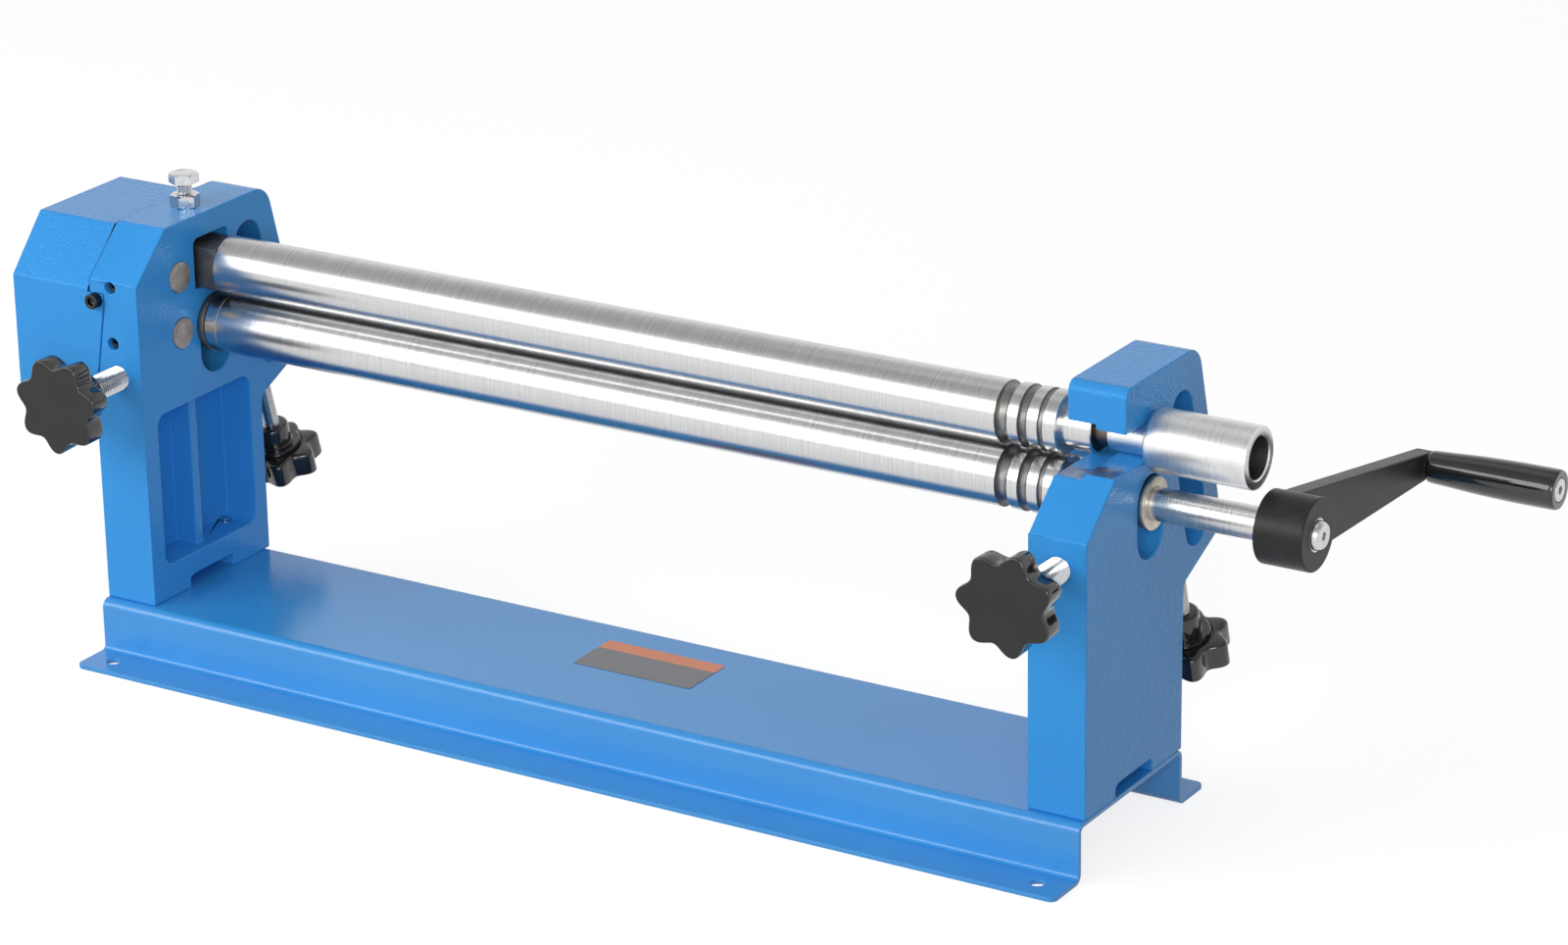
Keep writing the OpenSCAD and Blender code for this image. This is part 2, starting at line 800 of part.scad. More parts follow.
module top_roll() {
    handle_x = outer_x + handle_gap;
    handle_end = handle_x + handle_len;
    journal_end = barrel_x + journal_len;
    color("lightgray")
        difference() {
            turned_x([
                [pin_end, gear_seat_d / 2], [left_journal_end, gear_seat_d / 2],
                [left_journal_end, left_journal_d / 2], [-barrel_x, left_journal_d / 2],
                [-barrel_x, roll_r - roll_edge], [-barrel_x + roll_edge, roll_r],
                [barrel_x - roll_edge, roll_r], [barrel_x, roll_r - roll_edge],
                [barrel_x, mouth_journal_d / 2], [journal_end, mouth_journal_d / 2],
                [journal_end, neck_d / 2], [journal_end + neck_len, neck_d / 2],
                [journal_end + neck_len, lip_journal_d / 2], [handle_x, lip_journal_d / 2],
                [handle_x, handle_d / 2 - handle_round], [handle_x + handle_round, handle_d / 2],
                [handle_end - roll_edge, handle_d / 2], [handle_end, handle_d / 2 - roll_edge]
            ], roll_y, top_z);
            wire_grooves(roll_y, top_z);
            bar_x(handle_end - socket_depth, handle_end + over, socket_d / 2, roll_y, top_z);
            turned_x([
                [handle_end - socket_depth - socket_point, 0],
                [handle_end - socket_depth, socket_d / 2],
                [handle_end - socket_depth + over, socket_d / 2]
            ], roll_y, top_z);
            key_cut(top_z, gear_seat_d / 2);
        }
}

module lower_roll() {
    left_end = -barrel_x - low_barrel_extra;
    shoulder_x = inner_x - face_gap;
    shaft_end = hub_x + hub_len - face_gap;
    color("lightgray")
        difference() {
            turned_x([
                [pin_end, gear_seat_d / 2], [left_journal_end, gear_seat_d / 2],
                [left_journal_end, left_journal_d / 2], [left_end, left_journal_d / 2],
                [left_end, roll_r - roll_edge], [left_end + roll_edge, roll_r],
                [barrel_x - roll_edge, roll_r], [barrel_x, roll_r - roll_edge],
                [barrel_x, low_bush_r - roll_edge], [shoulder_x, low_bush_r - roll_edge],
                [shoulder_x, drive_d / 2], [shaft_end, drive_d / 2]
            ], roll_y, low_z);
            wire_grooves(roll_y, low_z);
            // The fine line where the end ring of the barrel meets it
            translate([-barrel_x, roll_y, low_z])
                rotate([0, 90, 0])
                    rotate_extrude()
                        translate([roll_r, 0])
                            circle(r = line_r);
            key_cut(low_z, gear_seat_d / 2);
            turned_key_seat();
            bar_x(shaft_end - crank_thread, shaft_end + over, crank_screw_d / 2 + seat_fit, roll_y, low_z);
        }
}

module rear_roll() {
    at = along_slot(rear_rest);
    shoulder_x = inner_x;
    journal_x = inner_x + face_gap + rear_block_len;
    shoulder_r = rear_journal_d / 2 + 4;
    color("lightgray")
        turned_x([
            [-journal_x, rear_journal_d / 2], [-shoulder_x, rear_journal_d / 2],
            [-shoulder_x, shoulder_r], [-barrel_x, shoulder_r],
            [-barrel_x, roll_r - roll_edge], [-barrel_x + roll_edge, roll_r],
            [barrel_x - roll_edge, roll_r], [barrel_x, roll_r - roll_edge],
            [barrel_x, shoulder_r], [shoulder_x, shoulder_r],
            [shoulder_x, rear_journal_d / 2], [journal_x, rear_journal_d / 2]
        ], at[0], at[1]);
}

// Keys lie half in the shaft and half in the gear, on the side away from the idlers

module key_cut(z, seat_r) {
    translate([key_start, roll_y + seat_r - key_w / 2, z - key_w / 2])
        cube([key_len, key_w, key_w]);
}

module gear_key(z) {
    translate([key_start, roll_y + gear_seat_d / 2 - key_w / 2, z - key_w / 2])
        cube([key_len, key_w, key_w]);
}

module top_gear_key() {
    color("gray")
        gear_key(top_z);
}

module lower_gear_key() {
    color("gray")
        gear_key(low_z);
}

// Bearings

module top_bearing_block() {
    x0 = -mid_x - block_left;
    x1 = -barrel_x - face_gap;
    color("dimgray")
        difference() {
            translate([0, roll_y, top_z])
                along_x(x0, x1)
                    polygon([
                        for (s = [[-1, -1], [1, -1], [1, 1], [-1, 1]])
                            for (k = s[0] == s[1] ? [0, 1] : [1, 0])
                                [s[0] * (block_w / 2 - k * block_edge), s[1] * (block_h / 2 - (1 - k) * block_edge)]
                    ]);
            bar_x(x0 - over, x1 + over, left_journal_d / 2 + run_fit, roll_y, top_z);
            translate([-mid_x, roll_y, top_z + block_h / 2 - dog_depth])
                cylinder(h = dog_depth + over, d = dog_d + 2 * run_fit);
        }
}

module lower_left_bush() {
    flange_x = -barrel_x - low_barrel_extra - face_gap;
    color("dimgray")
        difference() {
            union() {
                bar_x(-inner_x + face_gap, flange_x, left_flange_d / 2, roll_y, low_z);
                bar_x(-outer_x + face_gap, -inner_x + face_gap + over, low_bush_r, roll_y, low_z);
            }
            bar_x(-outer_x, flange_x + over, left_journal_d / 2 + run_fit, roll_y, low_z);
        }
}

module lower_right_bush() {
    color("tan")
        difference() {
            union() {
                bar_x(inner_x + face_gap, outer_x + face_gap + over, low_bush_r, roll_y, low_z);
                bar_x(outer_x + face_gap, outer_x + face_gap + right_flange_t, right_flange_d / 2, roll_y, low_z);
            }
            bar_x(inner_x, outer_x + right_flange_t + over, drive_d / 2 + run_fit, roll_y, low_z);
        }
}

module rear_block() {
    at = along_slot(rear_rest);
    color("dimgray")
        difference() {
            bar_x(inner_x + face_gap, inner_x + face_gap + rear_block_len, rear_block_r, at[0], at[1]);
            bar_x(inner_x, outer_x, rear_journal_d / 2 + run_fit, at[0], at[1]);
        }
}

module rear_left_block() {
    mirror([1, 0, 0])
        rear_block();
}

module rear_right_block() {
    rear_block();
}

// Gears

function involute(a) = tan(a) - a * PI / 180;
function half_tooth(r, pitch_r, w) =
    (w / pitch_r / 2 + involute(pressure_angle)
     - involute(acos(min(1, pitch_r * cos(pressure_angle) / r)))) * 180 / PI;

module gear_shape(teeth, w, addendum, phase) {
    pitch_r = gear_module * teeth / 2;
    root_r = pitch_r - gear_module * dedendum_share;
    start_r = max(pitch_r * cos(pressure_angle), root_r);
    tip_r = pitch_r + gear_module * addendum;
    up = [for (k = [0:flank_steps]) start_r + (tip_r - start_r) * k / flank_steps];
    polygon([for (i = [0:teeth - 1]) let (mid = phase + i * 360 / teeth) each concat(
        [polar(root_r, mid - half_tooth(start_r, pitch_r, w))],
        [for (r = up) polar(r, mid - half_tooth(r, pitch_r, w))],
        [for (k = [flank_steps:-1:0]) polar(up[k], mid + half_tooth(up[k], pitch_r, w))],
        [polar(root_r, mid + half_tooth(start_r, pitch_r, w))]
    )]);
}

function polar(r, a) = [r * cos(a), r * sin(a)];

// Phase that puts a gap of the second gear opposite a tooth of the first
function meshed(line, teeth_a, phase_a, teeth_b) =
    line + 180 - (0.5 - (line - phase_a) * teeth_a / 360) * 360 / teeth_b;

low_phase_line = atan2(low_z + lift_mid - lower_idler_z, roll_y - idler_y);
low_phase = meshed(low_phase_line, idler_teeth, 0, roll_teeth);
upper_phase = meshed(90, idler_teeth, 0, idler_teeth);
top_phase = meshed(atan2(top_z - upper_idler_z, roll_y - idler_y), idler_teeth, upper_phase, roll_teeth);

module idler_gear(z, phase) {
    color("gray")
        difference() {
            union() {
                translate([0, idler_y, z])
                    along_x(gear_x, gear_x + gear_w)
                        gear_shape(idler_teeth, tooth_w, addendum_share, phase);
                bar_x(gear_x + gear_w - over, -outer_x - face_gap, idler_hub_d / 2, idler_y, z);
            }
            bar_x(gear_x - over, -outer_x, idler_pin_d / 2 + run_fit, idler_y, z);
        }
}

module roll_gear(z, w, addendum, phase) {
    color("gray")
        difference() {
            union() {
                translate([0, roll_y, z])
                    along_x(gear_x, gear_x + gear_w)
                        gear_shape(roll_teeth, w, addendum, phase);
                bar_x(gear_x + gear_w - over, -outer_x - face_gap, roll_hub_d / 2, roll_y, z);
            }
            bar_x(gear_x - over, -outer_x, gear_seat_d / 2 + seat_fit, roll_y, z);
            key_cut(z, gear_seat_d / 2);
        }
}

module upper_idler_gear() {
    idler_gear(upper_idler_z, upper_phase);
}

module lower_idler_gear() {
    idler_gear(lower_idler_z, 0);
}

module top_roll_gear() {
    roll_gear(top_z, tooth_w, addendum_share, top_phase);
}

module lower_roll_gear() {
    roll_gear(low_z, low_tooth_w, low_addendum_share, low_phase);
}

module idler_pin(z) {
    color("rosybrown")
        bar_x(pin_end, -inner_x + idler_pin_proud, idler_pin_d / 2, idler_y, z);
}

module upper_idler_pin() {
    idler_pin(upper_idler_z);
}

module lower_idler_pin() {
    idler_pin(lower_idler_z);
}

module idler_set_screws() {
    recess = 4;
    pin_front = idler_y - idler_pin_d / 2 - recess / 10;
    color("dimgray")
        for (z = [upper_idler_z, lower_idler_z])
            translate([-mid_x - set_off, front_y + recess, z + set_rise])
                rotate([-90, 0, 0])
                    difference() {
                        cylinder(h = pin_front - front_y - recess, d = set_screw_d);
                        translate([0, 0, -over])
                            hex_prism(set_screw_d / 2, set_screw_d / 2 + over);
                    }
}

module shaft_ring(y, z, seat_r) {
    difference() {
        bar_x(gear_end, gear_x - face_gap, seat_r + ring_w, y, z);
        bar_x(gear_end - over, gear_x, seat_r + seat_fit, y, z);
    }
}

module idler_retaining_rings() {
    color("silver")
        for (z = [upper_idler_z, lower_idler_z])
            shaft_ring(idler_y, z, idler_pin_d / 2);
}

module top_gear_ring() {
    color("silver")
        shaft_ring(roll_y, top_z, gear_seat_d / 2);
}

module lower_gear_ring() {
    color("silver")
        shaft_ring(roll_y, low_z, gear_seat_d / 2);
}

// Swing bolt

module swing_bolt() {
    head_z = left_top + swing_nut_t + swing_bare;
    dog_z = top_z + block_h / 2 - dog_depth + face_gap;
    color("silver")
        translate([-mid_x, roll_y, 0]) {
            translate([0, 0, head_z])
                hex_prism(swing_flats, swing_head_h);
            translate([0, 0, window_top - window_clear + face_gap])
                cylinder(h = head_z - window_top + window_clear, d = swing_d);
            translate([0, 0, dog_z])
                cylinder(h = dog_depth + face_gap, d = dog_d);
        }
}

module swing_bolt_nut() {
    color("silver")
        translate([-mid_x, roll_y, left_top])
            difference() {
                hex_prism(swing_flats, swing_nut_t);
                translate([0, 0, -over])
                    cylinder(h = swing_nut_t + 2 * over, d = swing_d + 2 * seat_fit);
            }
}

// Frame bolts

module frame_bolts() {
    head_z = base_h - sheet_t - washer_t;
    color("silver")
        frame_bolt_places()
            translate([0, 0, head_z - frame_bolt_head]) {
                hex_prism(frame_bolt_flats, frame_bolt_head);
                cylinder(h = frame_bolt_head + washer_t + sheet_t + foot_t + over, d = frame_bolt_d);
            }
}

module frame_washers() {
    color("silver")
        frame_bolt_places()
            translate([0, 0, base_h - sheet_t - washer_t])
                difference() {
                    cylinder(h = washer_t, d = washer_d);
                    translate([0, 0, -over])
                        cylinder(h = washer_t + 2 * over, d = frame_bolt_d + 2 * seat_fit);
                }
}

// Adjusting screws: each knob is drawn with its face on z = 0 and its boss pointing up

module star_shape(knob_r) {
    mean_r = knob_r - lobe_h / 2;
    steps = lobes * lobe_steps;
    polygon([for (k = [0:steps - 1]) polar(mean_r + lobe_h / 2 * cos(360 * k * lobes / steps), 360 * k / steps)]);
}

module star_knob(knob_r, stud_r, phase) {
    boss_r = stud_r + boss_wall;
    color("black")
        difference() {
            union() {
                rotate([0, 0, phase])
                    linear_extrude(height = star_t)
                        star_shape(knob_r);
                cylinder(h = star_t + collar_t, r = boss_r + collar_w);
                cylinder(h = star_t + collar_t + boss_len, r = boss_r);
            }
            translate([0, 0, star_t - knob_bore])
                cylinder(h = knob_bore + collar_t + boss_len + over, r = stud_r + seat_fit);
        }
}

module front_knob(side, phase) {
    translate([side * mid_x, knob_face_y, front_stud_z])
        rotate([-90, 0, 0])
            star_knob(front_knob_r, front_stud_r, phase);
}

module front_stud(side) {
    start_y = knob_face_y + star_t - knob_bore;
    color("silver")
        translate([side * mid_x, start_y, front_stud_z])
            rotate([-90, 0, 0])
                cylinder(h = cone_base_y - cone_shank - start_y - face_gap, r = front_stud_r);
}

module front_cone(side) {
    color("dimgray")
        translate([side * mid_x, cone_base_y, front_stud_z])
            rotate([-90, 0, 0]) {
                translate([0, 0, -cone_shank])
                    cylinder(h = cone_shank, r = cone_r);
                cylinder(h = cone_blunt_y - cone_base_y, r1 = cone_r, r2 = cone_tip_r);
            }
}

module rear_knob(side, phase) {
    on_slot(side * mid_x, rear_reach)
        star_knob(rear_knob_r, rear_stud_r, phase);
}

module rear_stud(side) {
    start = rear_reach - star_t + knob_bore;
    color("silver")
        on_slot(side * mid_x, start)
            cylinder(h = start - rear_pad_top - pad_h - face_gap, r = rear_stud_r);
}

module rear_pad(side) {
    color("dimgray")
        on_slot(side * mid_x, rear_pad_top + pad_h)
            cylinder(h = pad_h, r = rear_stud_r + 1);
}

module left_front_knob() {
    front_knob(-1, left_front_phase);
}

module right_front_knob() {
    front_knob(1, right_front_phase);
}

module left_front_stud() {
    front_stud(-1);
}

module right_front_stud() {
    front_stud(1);
}

module left_front_cone() {
    front_cone(-1);
}

module right_front_cone() {
    front_cone(1);
}

module left_rear_knob() {
    rear_knob(-1, rear_phase);
}

module right_rear_knob() {
    rear_knob(1, rear_phase);
}

module left_rear_stud() {
    rear_stud(-1);
}

module right_rear_stud() {
    rear_stud(1);
}

module left_rear_pad() {
    rear_pad(-1);
}

module right_rear_pad() {
    rear_pad(1);
}

// Crank: built with the arm along +Y, then turned to its rest angle about the drive shaft

module crank_turn() {
    translate([0, roll_y, low_z])
        rotate([-crank_angle, 0, 0])
            children();
}

module arm_shape() {
    end = crank_r + arm_over;
    polygon(rounded([
        [0, -arm_root_h / 2, 0], [end, -arm_end_h / 2, edge_r],
        [end, arm_end_h / 2, edge_r], [0, arm_root_h / 2, 0]
    ]));
}

module crank_key_shape(play) {
    translate([hub_x - play, drive_d / 2 - key_w / 2, -key_w / 2])
        cube([key_len * 1.5 + play, key_w, key_w]);
}

module turned_key_seat() {
    crank_turn()
        crank_key_shape(over);
}

module crank_arm() {
    color("darkslategray")
        crank_turn()
            difference() {
                union() {
                    bar_x(hub_x, hub_x + hub_len, hub_d / 2);
                    along_x(arm_x, arm_x + arm_t)
                        arm_shape();
                }
                bar_x(hub_x - over, hub_x + hub_len + over, drive_d / 2 + seat_fit);
                crank_key_shape(over);
                bar_x(arm_x - over, arm_x + arm_t + over, spindle_d / 2 + seat_fit, crank_r);
            }
}

module crank_key() {
    color("gray")
        crank_turn()
            crank_key_shape(0);
}

module crank_screw() {
    color("silver")
        translate([hub_x + hub_len, roll_y, low_z])
            rotate([0, 90, 0])
                difference() {
                    union() {
                        cylinder(h = crank_screw_head_h, d1 = crank_screw_head_d, d2 = crank_screw_head_d * 0.8);
                        translate([0, 0, -crank_thread + over])
                            cylinder(h = crank_thread, d = crank_screw_d);
                    }
                    translate([0, 0, crank_screw_head_h / 2])
                        hex_prism(crank_screw_d * 0.6, crank_screw_head_h);
                }
}

module crank_grip() {
    end = grip_x + grip_len;
    shoulder_share = 0.04;
    belly_share = 0.85;
    color("black")
        crank_turn()
            difference() {
                turned_x([
                    [grip_x, grip_root_d / 2 - edge_r / 2], [grip_x + grip_len * shoulder_share, grip_root_d / 2],
                    [grip_x + grip_len * belly_share, grip_d / 2], [end - edge_r, grip_d / 2 - edge_r / 8],
                    [end, grip_d / 2 - edge_r / 2]
                ], crank_r, 0);
                bar_x(grip_x - over, end + over, spindle_d / 2 + run_fit, crank_r);
                bar_x(end - spindle_head_t, end + over, spindle_head_d / 2 + face_gap, crank_r);
            }
}

module grip_spindle() {
    end = grip_x + grip_len;
    color("silver")
        crank_turn() {
            bar_x(arm_x, end, spindle_d / 2, crank_r);
            bar_x(end - spindle_head_t + face_gap, end + face_gap * 2, spindle_head_d / 2, crank_r);
        }
}

base_plate();
left_frame();
right_frame();
gear_cover();
top_roll();
lower_roll();
rear_roll();
top_bearing_block();
lower_left_bush();
lower_right_bush();
rear_left_block();
rear_right_block();
top_roll_gear();
upper_idler_gear();
lower_idler_gear();
lower_roll_gear();
upper_idler_pin();
lower_idler_pin();
idler_set_screws();
idler_retaining_rings();
top_gear_ring();
lower_gear_ring();
top_gear_key();
lower_gear_key();
swing_bolt();
swing_bolt_nut();
cover_screws();
frame_bolts();
frame_washers();
left_front_knob();
right_front_knob();
left_front_stud();
right_front_stud();
left_front_cone();
right_front_cone();
left_rear_knob();
right_rear_knob();
left_rear_stud();
right_rear_stud();
left_rear_pad();
right_rear_pad();
crank_arm();
crank_key();
crank_screw();
crank_grip();
grip_spindle();
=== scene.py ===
# Slip roll machine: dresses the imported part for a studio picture.
# Places are in metres, from the same sizes as the part's source.
import math
import bmesh
import bpy
from mathutils import Matrix, Vector, geometry


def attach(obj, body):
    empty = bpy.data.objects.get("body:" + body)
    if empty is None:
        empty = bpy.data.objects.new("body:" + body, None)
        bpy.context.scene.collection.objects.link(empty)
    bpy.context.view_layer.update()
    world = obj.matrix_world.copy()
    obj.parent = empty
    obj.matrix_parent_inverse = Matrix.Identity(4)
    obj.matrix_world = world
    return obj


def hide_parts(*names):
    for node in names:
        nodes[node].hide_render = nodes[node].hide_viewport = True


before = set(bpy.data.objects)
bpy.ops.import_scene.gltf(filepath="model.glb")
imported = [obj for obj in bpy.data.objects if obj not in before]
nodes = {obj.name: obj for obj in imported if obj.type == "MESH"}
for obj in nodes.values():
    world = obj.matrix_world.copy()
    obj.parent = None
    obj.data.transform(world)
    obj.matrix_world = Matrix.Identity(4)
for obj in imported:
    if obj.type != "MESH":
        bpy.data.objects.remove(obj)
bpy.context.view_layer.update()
print("frame loaded:", len(nodes), "nodes")

mm = 0.001
fullTurn = 2 * math.pi

# Where the main axes of the machine lie
axes = {
    "rollY": 20 * mm, "topZ": 248.5 * mm, "lowZ": 208.7 * mm,
    "frameX": 339 * mm, "baseTop": 37 * mm,
    "studZ": 189.5 * mm, "slotY": 58.5 * mm, "slotZ": 252 * mm, "slotTilt": math.radians(15),
    "crankTilt": math.radians(6.2), "crankReach": 184 * mm,
}


# A frame of reference whose local Z runs along a direction
def standAt(origin, direction, spin=0.0):
    aim = Vector(direction).to_track_quat("Z", "Y").to_matrix().to_4x4()
    return Matrix.Translation(Vector(origin)) @ aim @ Matrix.Rotation(spin, 4, "Z")


def alongX(x, y, z):
    return Matrix.Translation((x, y, z)) @ Matrix.Rotation(math.pi / 2, 4, "Y")


# A point of the bending roll's slot, measured down from the top of the slot
def slotPoint(x, down):
    tilt = axes["slotTilt"]
    return Vector((x, axes["slotY"] + down * math.sin(tilt), axes["slotZ"] - down * math.cos(tilt)))


# Makes an object of a bmesh: it rides on a body and may stand for CAD nodes
def makePiece(name, bm, body, materials, stands=(), sharpAngle=35, weighted=False):
    mesh = bpy.data.meshes.new(name)
    bm.to_mesh(mesh)
    bm.free()
    for material in materials:
        mesh.materials.append(material)
    mesh.shade_smooth()
    mesh.set_sharp_from_angle(angle=math.radians(sharpAngle))
    piece = bpy.data.objects.new(name, mesh)
    bpy.context.scene.collection.objects.link(piece)
    if weighted:
        normals = piece.modifiers.new("evenNormals", "WEIGHTED_NORMAL")
        normals.mode = "FACE_AREA"
        normals.weight = 100
        normals.keep_sharp = True
    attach(piece, body)
    if stands:
        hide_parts(*stands)
    return piece


# Rounds the edges of a bmesh that are sharper than an angle
def easeEdges(bm, width, segments=2, minAngle=28):
    limit = math.radians(minAngle)
    edges = [e for e in bm.edges if e.is_manifold and e.calc_face_angle(0) > limit]
    roundEdges(bm, edges, width, segments)


def roundEdges(bm, edges, width, segments):
    bmesh.ops.bevel(bm, geom=edges, offset=width, offset_type="OFFSET", segments=segments, profile=0.5,
                    affect="EDGES", clamp_overlap=False, material=-1, loop_slide=True)


# The same for a casting. Where the rounding folds the skin, the shortest edge close by is left sharp,
# and the rounding is tried again on a fresh copy.
def easeCasting(bm, width, segments=3, minAngle=28, tries=24):
    limit, foldLimit = math.radians(minAngle), math.radians(118)
    bm.edges.index_update()
    spans = {e.index: (e.verts[0].co.copy(), e.verts[1].co.copy()) for e in bm.edges
             if e.is_manifold and e.calc_face_angle(0) > limit}
    for attempt in range(tries):
        trial = bm.copy()
        trial.edges.ensure_lookup_table()
        roundEdges(trial, [trial.edges[k] for k in spans], width, segments)
        folds = {}
        for edge in trial.edges:
            if edge.calc_face_angle(0) > foldLimit:
                spot = (edge.verts[0].co + edge.verts[1].co) / 2
                folds[tuple(round(c / width) for c in spot)] = spot
        if not folds:
            break
        for spot in folds.values():
            near = []
            for key, (first, last) in spans.items():
                foot, share = geometry.intersect_point_line(spot, first, last)
                foot = first.lerp(last, min(max(share, 0), 1))
                if (foot - spot).length < 1.7 * width:
                    near.append(((last - first).length, key))
            if near:
                spans.pop(min(near)[1])
        if attempt < tries - 1:
            trial.free()
    print("   edges rounded:", len(spans), "in", attempt + 1, "tries,", len(folds), "folds left")
    bm.free()
    return trial


# A turned shape: rows are [height, radius] in mm, spun round local Z
def turned(rows, place, steps=96, closed=False, easing=0.0, segments=2, into=None):
    bm = bmesh.new()
    verts = [bm.verts.new((radius * mm, 0, height * mm)) for height, radius in rows]
    edges = [bm.edges.new(pair) for pair in zip(verts, verts[1:])]
    if closed:
        edges.append(bm.edges.new((verts[-1], verts[0])))
    bmesh.ops.spin(bm, geom=verts + edges, cent=(0, 0, 0), axis=(0, 0, 1), dvec=(0, 0, 0), angle=fullTurn,
                   steps=steps, use_merge=True, use_normal_flip=False, use_duplicate=False)
    bmesh.ops.remove_doubles(bm, verts=bm.verts, dist=1e-7)
    bmesh.ops.recalc_face_normals(bm, faces=bm.faces)
    if easing:
        easeEdges(bm, easing * mm, segments, 25)
    bmesh.ops.transform(bm, matrix=place, verts=bm.verts)
    return joined(into, bm)


# Adds one bmesh to another through a scratch mesh
def joined(into, bm):
    if into is None:
        return bm
    scratch = bpy.data.meshes.new("scratch")
    bm.to_mesh(scratch)
    bm.free()
    into.from_mesh(scratch)
    bpy.data.meshes.remove(scratch)
    return into


# A stack of rings round local Z: each ring is a function of the angle that gives (radius, height) in mm
def ringStack(rings, place, count=72, closeStart=True, closeEnd=True, into=None):
    bm = bmesh.new()
    made = bmesh.ops.create_circle(bm, cap_ends=False, radius=1, segments=count)["verts"]
    ring = sorted(made, key=lambda v: math.atan2(v.co.y, v.co.x) % fullTurn)
    angles = [math.atan2(v.co.y, v.co.x) % fullTurn for v in ring]

    def setRing(verts, shape):
        for vert, angle in zip(verts, angles):
            radius, height = shape(angle)
            vert.co = (radius * mm * math.cos(angle), radius * mm * math.sin(angle), height * mm)

    edges = list(bm.edges)
    setRing(ring, rings[0])
    if closeStart:
        bmesh.ops.edgeloop_fill(bm, edges=edges)
    for shape in rings[1:]:
        grown = bmesh.ops.extrude_edge_only(bm, edges=edges)["geom"]
        edges = [g for g in grown if isinstance(g, bmesh.types.BMEdge)]
        fresh = {g for g in grown if isinstance(g, bmesh.types.BMVert)}
        ring = [next(e.other_vert(v) for e in v.link_edges if e.other_vert(v) in fresh) for v in ring]
        setRing(ring, shape)
    if closeEnd:
        bmesh.ops.edgeloop_fill(bm, edges=edges)
    bmesh.ops.recalc_face_normals(bm, faces=bm.faces)
    bmesh.ops.transform(bm, matrix=place, verts=bm.verts)
    return joined(into, bm)


def roundRing(radius, height):
    return lambda angle: (radius, height)


# Radius of a hexagon at an angle, and a hexagonal ring whose corners may be cut by a chamfer
def hexRadius(angle, flats):
    third = math.pi / 3
    return flats / 2 / math.cos((angle + third / 2) % third - third / 2)


def hexRing(flats, height, chamfer=0.0):
    slope = 0.58  # the usual 30 degrees

    def shape(angle):
        radius = hexRadius(angle, flats)
        return radius, height - chamfer * (radius - flats / 2) * slope
    return shape


# A hexagon head or nut with chamfered corners, from its foot at 0 up to its height
def hexHead(flats, height, place, hole=0.0, bothEnds=False, into=None):
    inner = flats / 2 * 0.96
    rings = [hexRing(flats, 0, -1.0 if bothEnds else 0), hexRing(flats, height, 1.0), roundRing(inner, height)]
    if bothEnds:
        rings.insert(0, roundRing(inner, 0))
    if not hole:
        return ringStack(rings, place, into=into)
    lip = 0.6
    rings = [roundRing(hole + lip, 0)] + rings
    rings += [roundRing(hole + lip, height), roundRing(hole, height - lip), roundRing(hole, lip),
              roundRing(hole + lip, 0)]
    bm = ringStack(rings, place, closeStart=False, closeEnd=False)
    bmesh.ops.remove_doubles(bm, verts=bm.verts, dist=1e-7)
    bmesh.ops.recalc_face_normals(bm, faces=bm.faces)
    return joined(into, bm)


# A real screw thread round local Z, from 0 to its length, cut flat at both ends
def threaded(radius, pitch, length, place, steps=28, into=None):
    bm = bmesh.new()
    depth = 0.6 * pitch
    turns = int(length / pitch) + 3
    rows = []
    for k in range(turns):
        base = (k - 1) * pitch
        rows += [(base, radius), (base + 0.14 * pitch, radius),
                 (base + 0.5 * pitch, radius - depth), (base + 0.64 * pitch, radius - depth)]
    rows.append(((turns - 1) * pitch, radius))
    verts = [bm.verts.new((r * mm, 0, h * mm)) for h, r in rows]
    edges = [bm.edges.new(pair) for pair in zip(verts, verts[1:])]
    bmesh.ops.spin(bm, geom=verts + edges, cent=(0, 0, 0), axis=(0, 0, 1), dvec=(0, 0, pitch * mm / steps),
                   angle=fullTurn, steps=steps, use_merge=False, use_normal_flip=False, use_duplicate=False)
    bmesh.ops.remove_doubles(bm, verts=bm.verts, dist=2e-6)
    for height, normal in ((0, (0, 0, -1)), (length * mm, (0, 0, 1))):
        geom = list(bm.verts) + list(bm.edges) + list(bm.faces)
        bmesh.ops.bisect_plane(bm, geom=geom, plane_co=(0, 0, height), plane_no=normal, clear_outer=True)
    rim = [e for e in bm.edges if e.is_boundary]
    bmesh.ops.holes_fill(bm, edges=rim, sides=0)
    bmesh.ops.recalc_face_normals(bm, faces=bm.faces)
    bmesh.ops.transform(bm, matrix=place, verts=bm.verts)
    return joined(into, bm)


# A merged copy of a CAD node, with its flat faces joined up again
def mergedCopy(name):
    bm = bmesh.new()
    bm.from_mesh(nodes[name].data)
    bmesh.ops.remove_doubles(bm, verts=bm.verts, dist=2e-6)
    bmesh.ops.dissolve_limit(bm, angle_limit=math.radians(0.6), use_dissolve_boundaries=False,
                             verts=bm.verts, edges=bm.edges, delimit={"NORMAL"})
    return bm


# Node helpers for the materials
def addNode(tree, kind, x, y, **values):
    node = tree.nodes.new(kind)
    node.location = (x, y)
    for key, value in values.items():
        setattr(node, key, value)
    return node


def setInputs(node, values):
    for key, value in values.items():
        node.inputs[key].default_value = value


def startGroup(name, inputs, outputs):
    group = bpy.data.node_groups.new(name, "ShaderNodeTree")
    for label, kind, value in inputs:
        socket = group.interface.new_socket(name=label, in_out="INPUT", socket_type=kind)
        socket.default_value = value
    for label, kind in outputs:
        group.interface.new_socket(name=label, in_out="OUTPUT", socket_type=kind)
    start = addNode(group, "NodeGroupInput", -900, 0)
    end = addNode(group, "NodeGroupOutput", 700, 0)
    return group, start, end


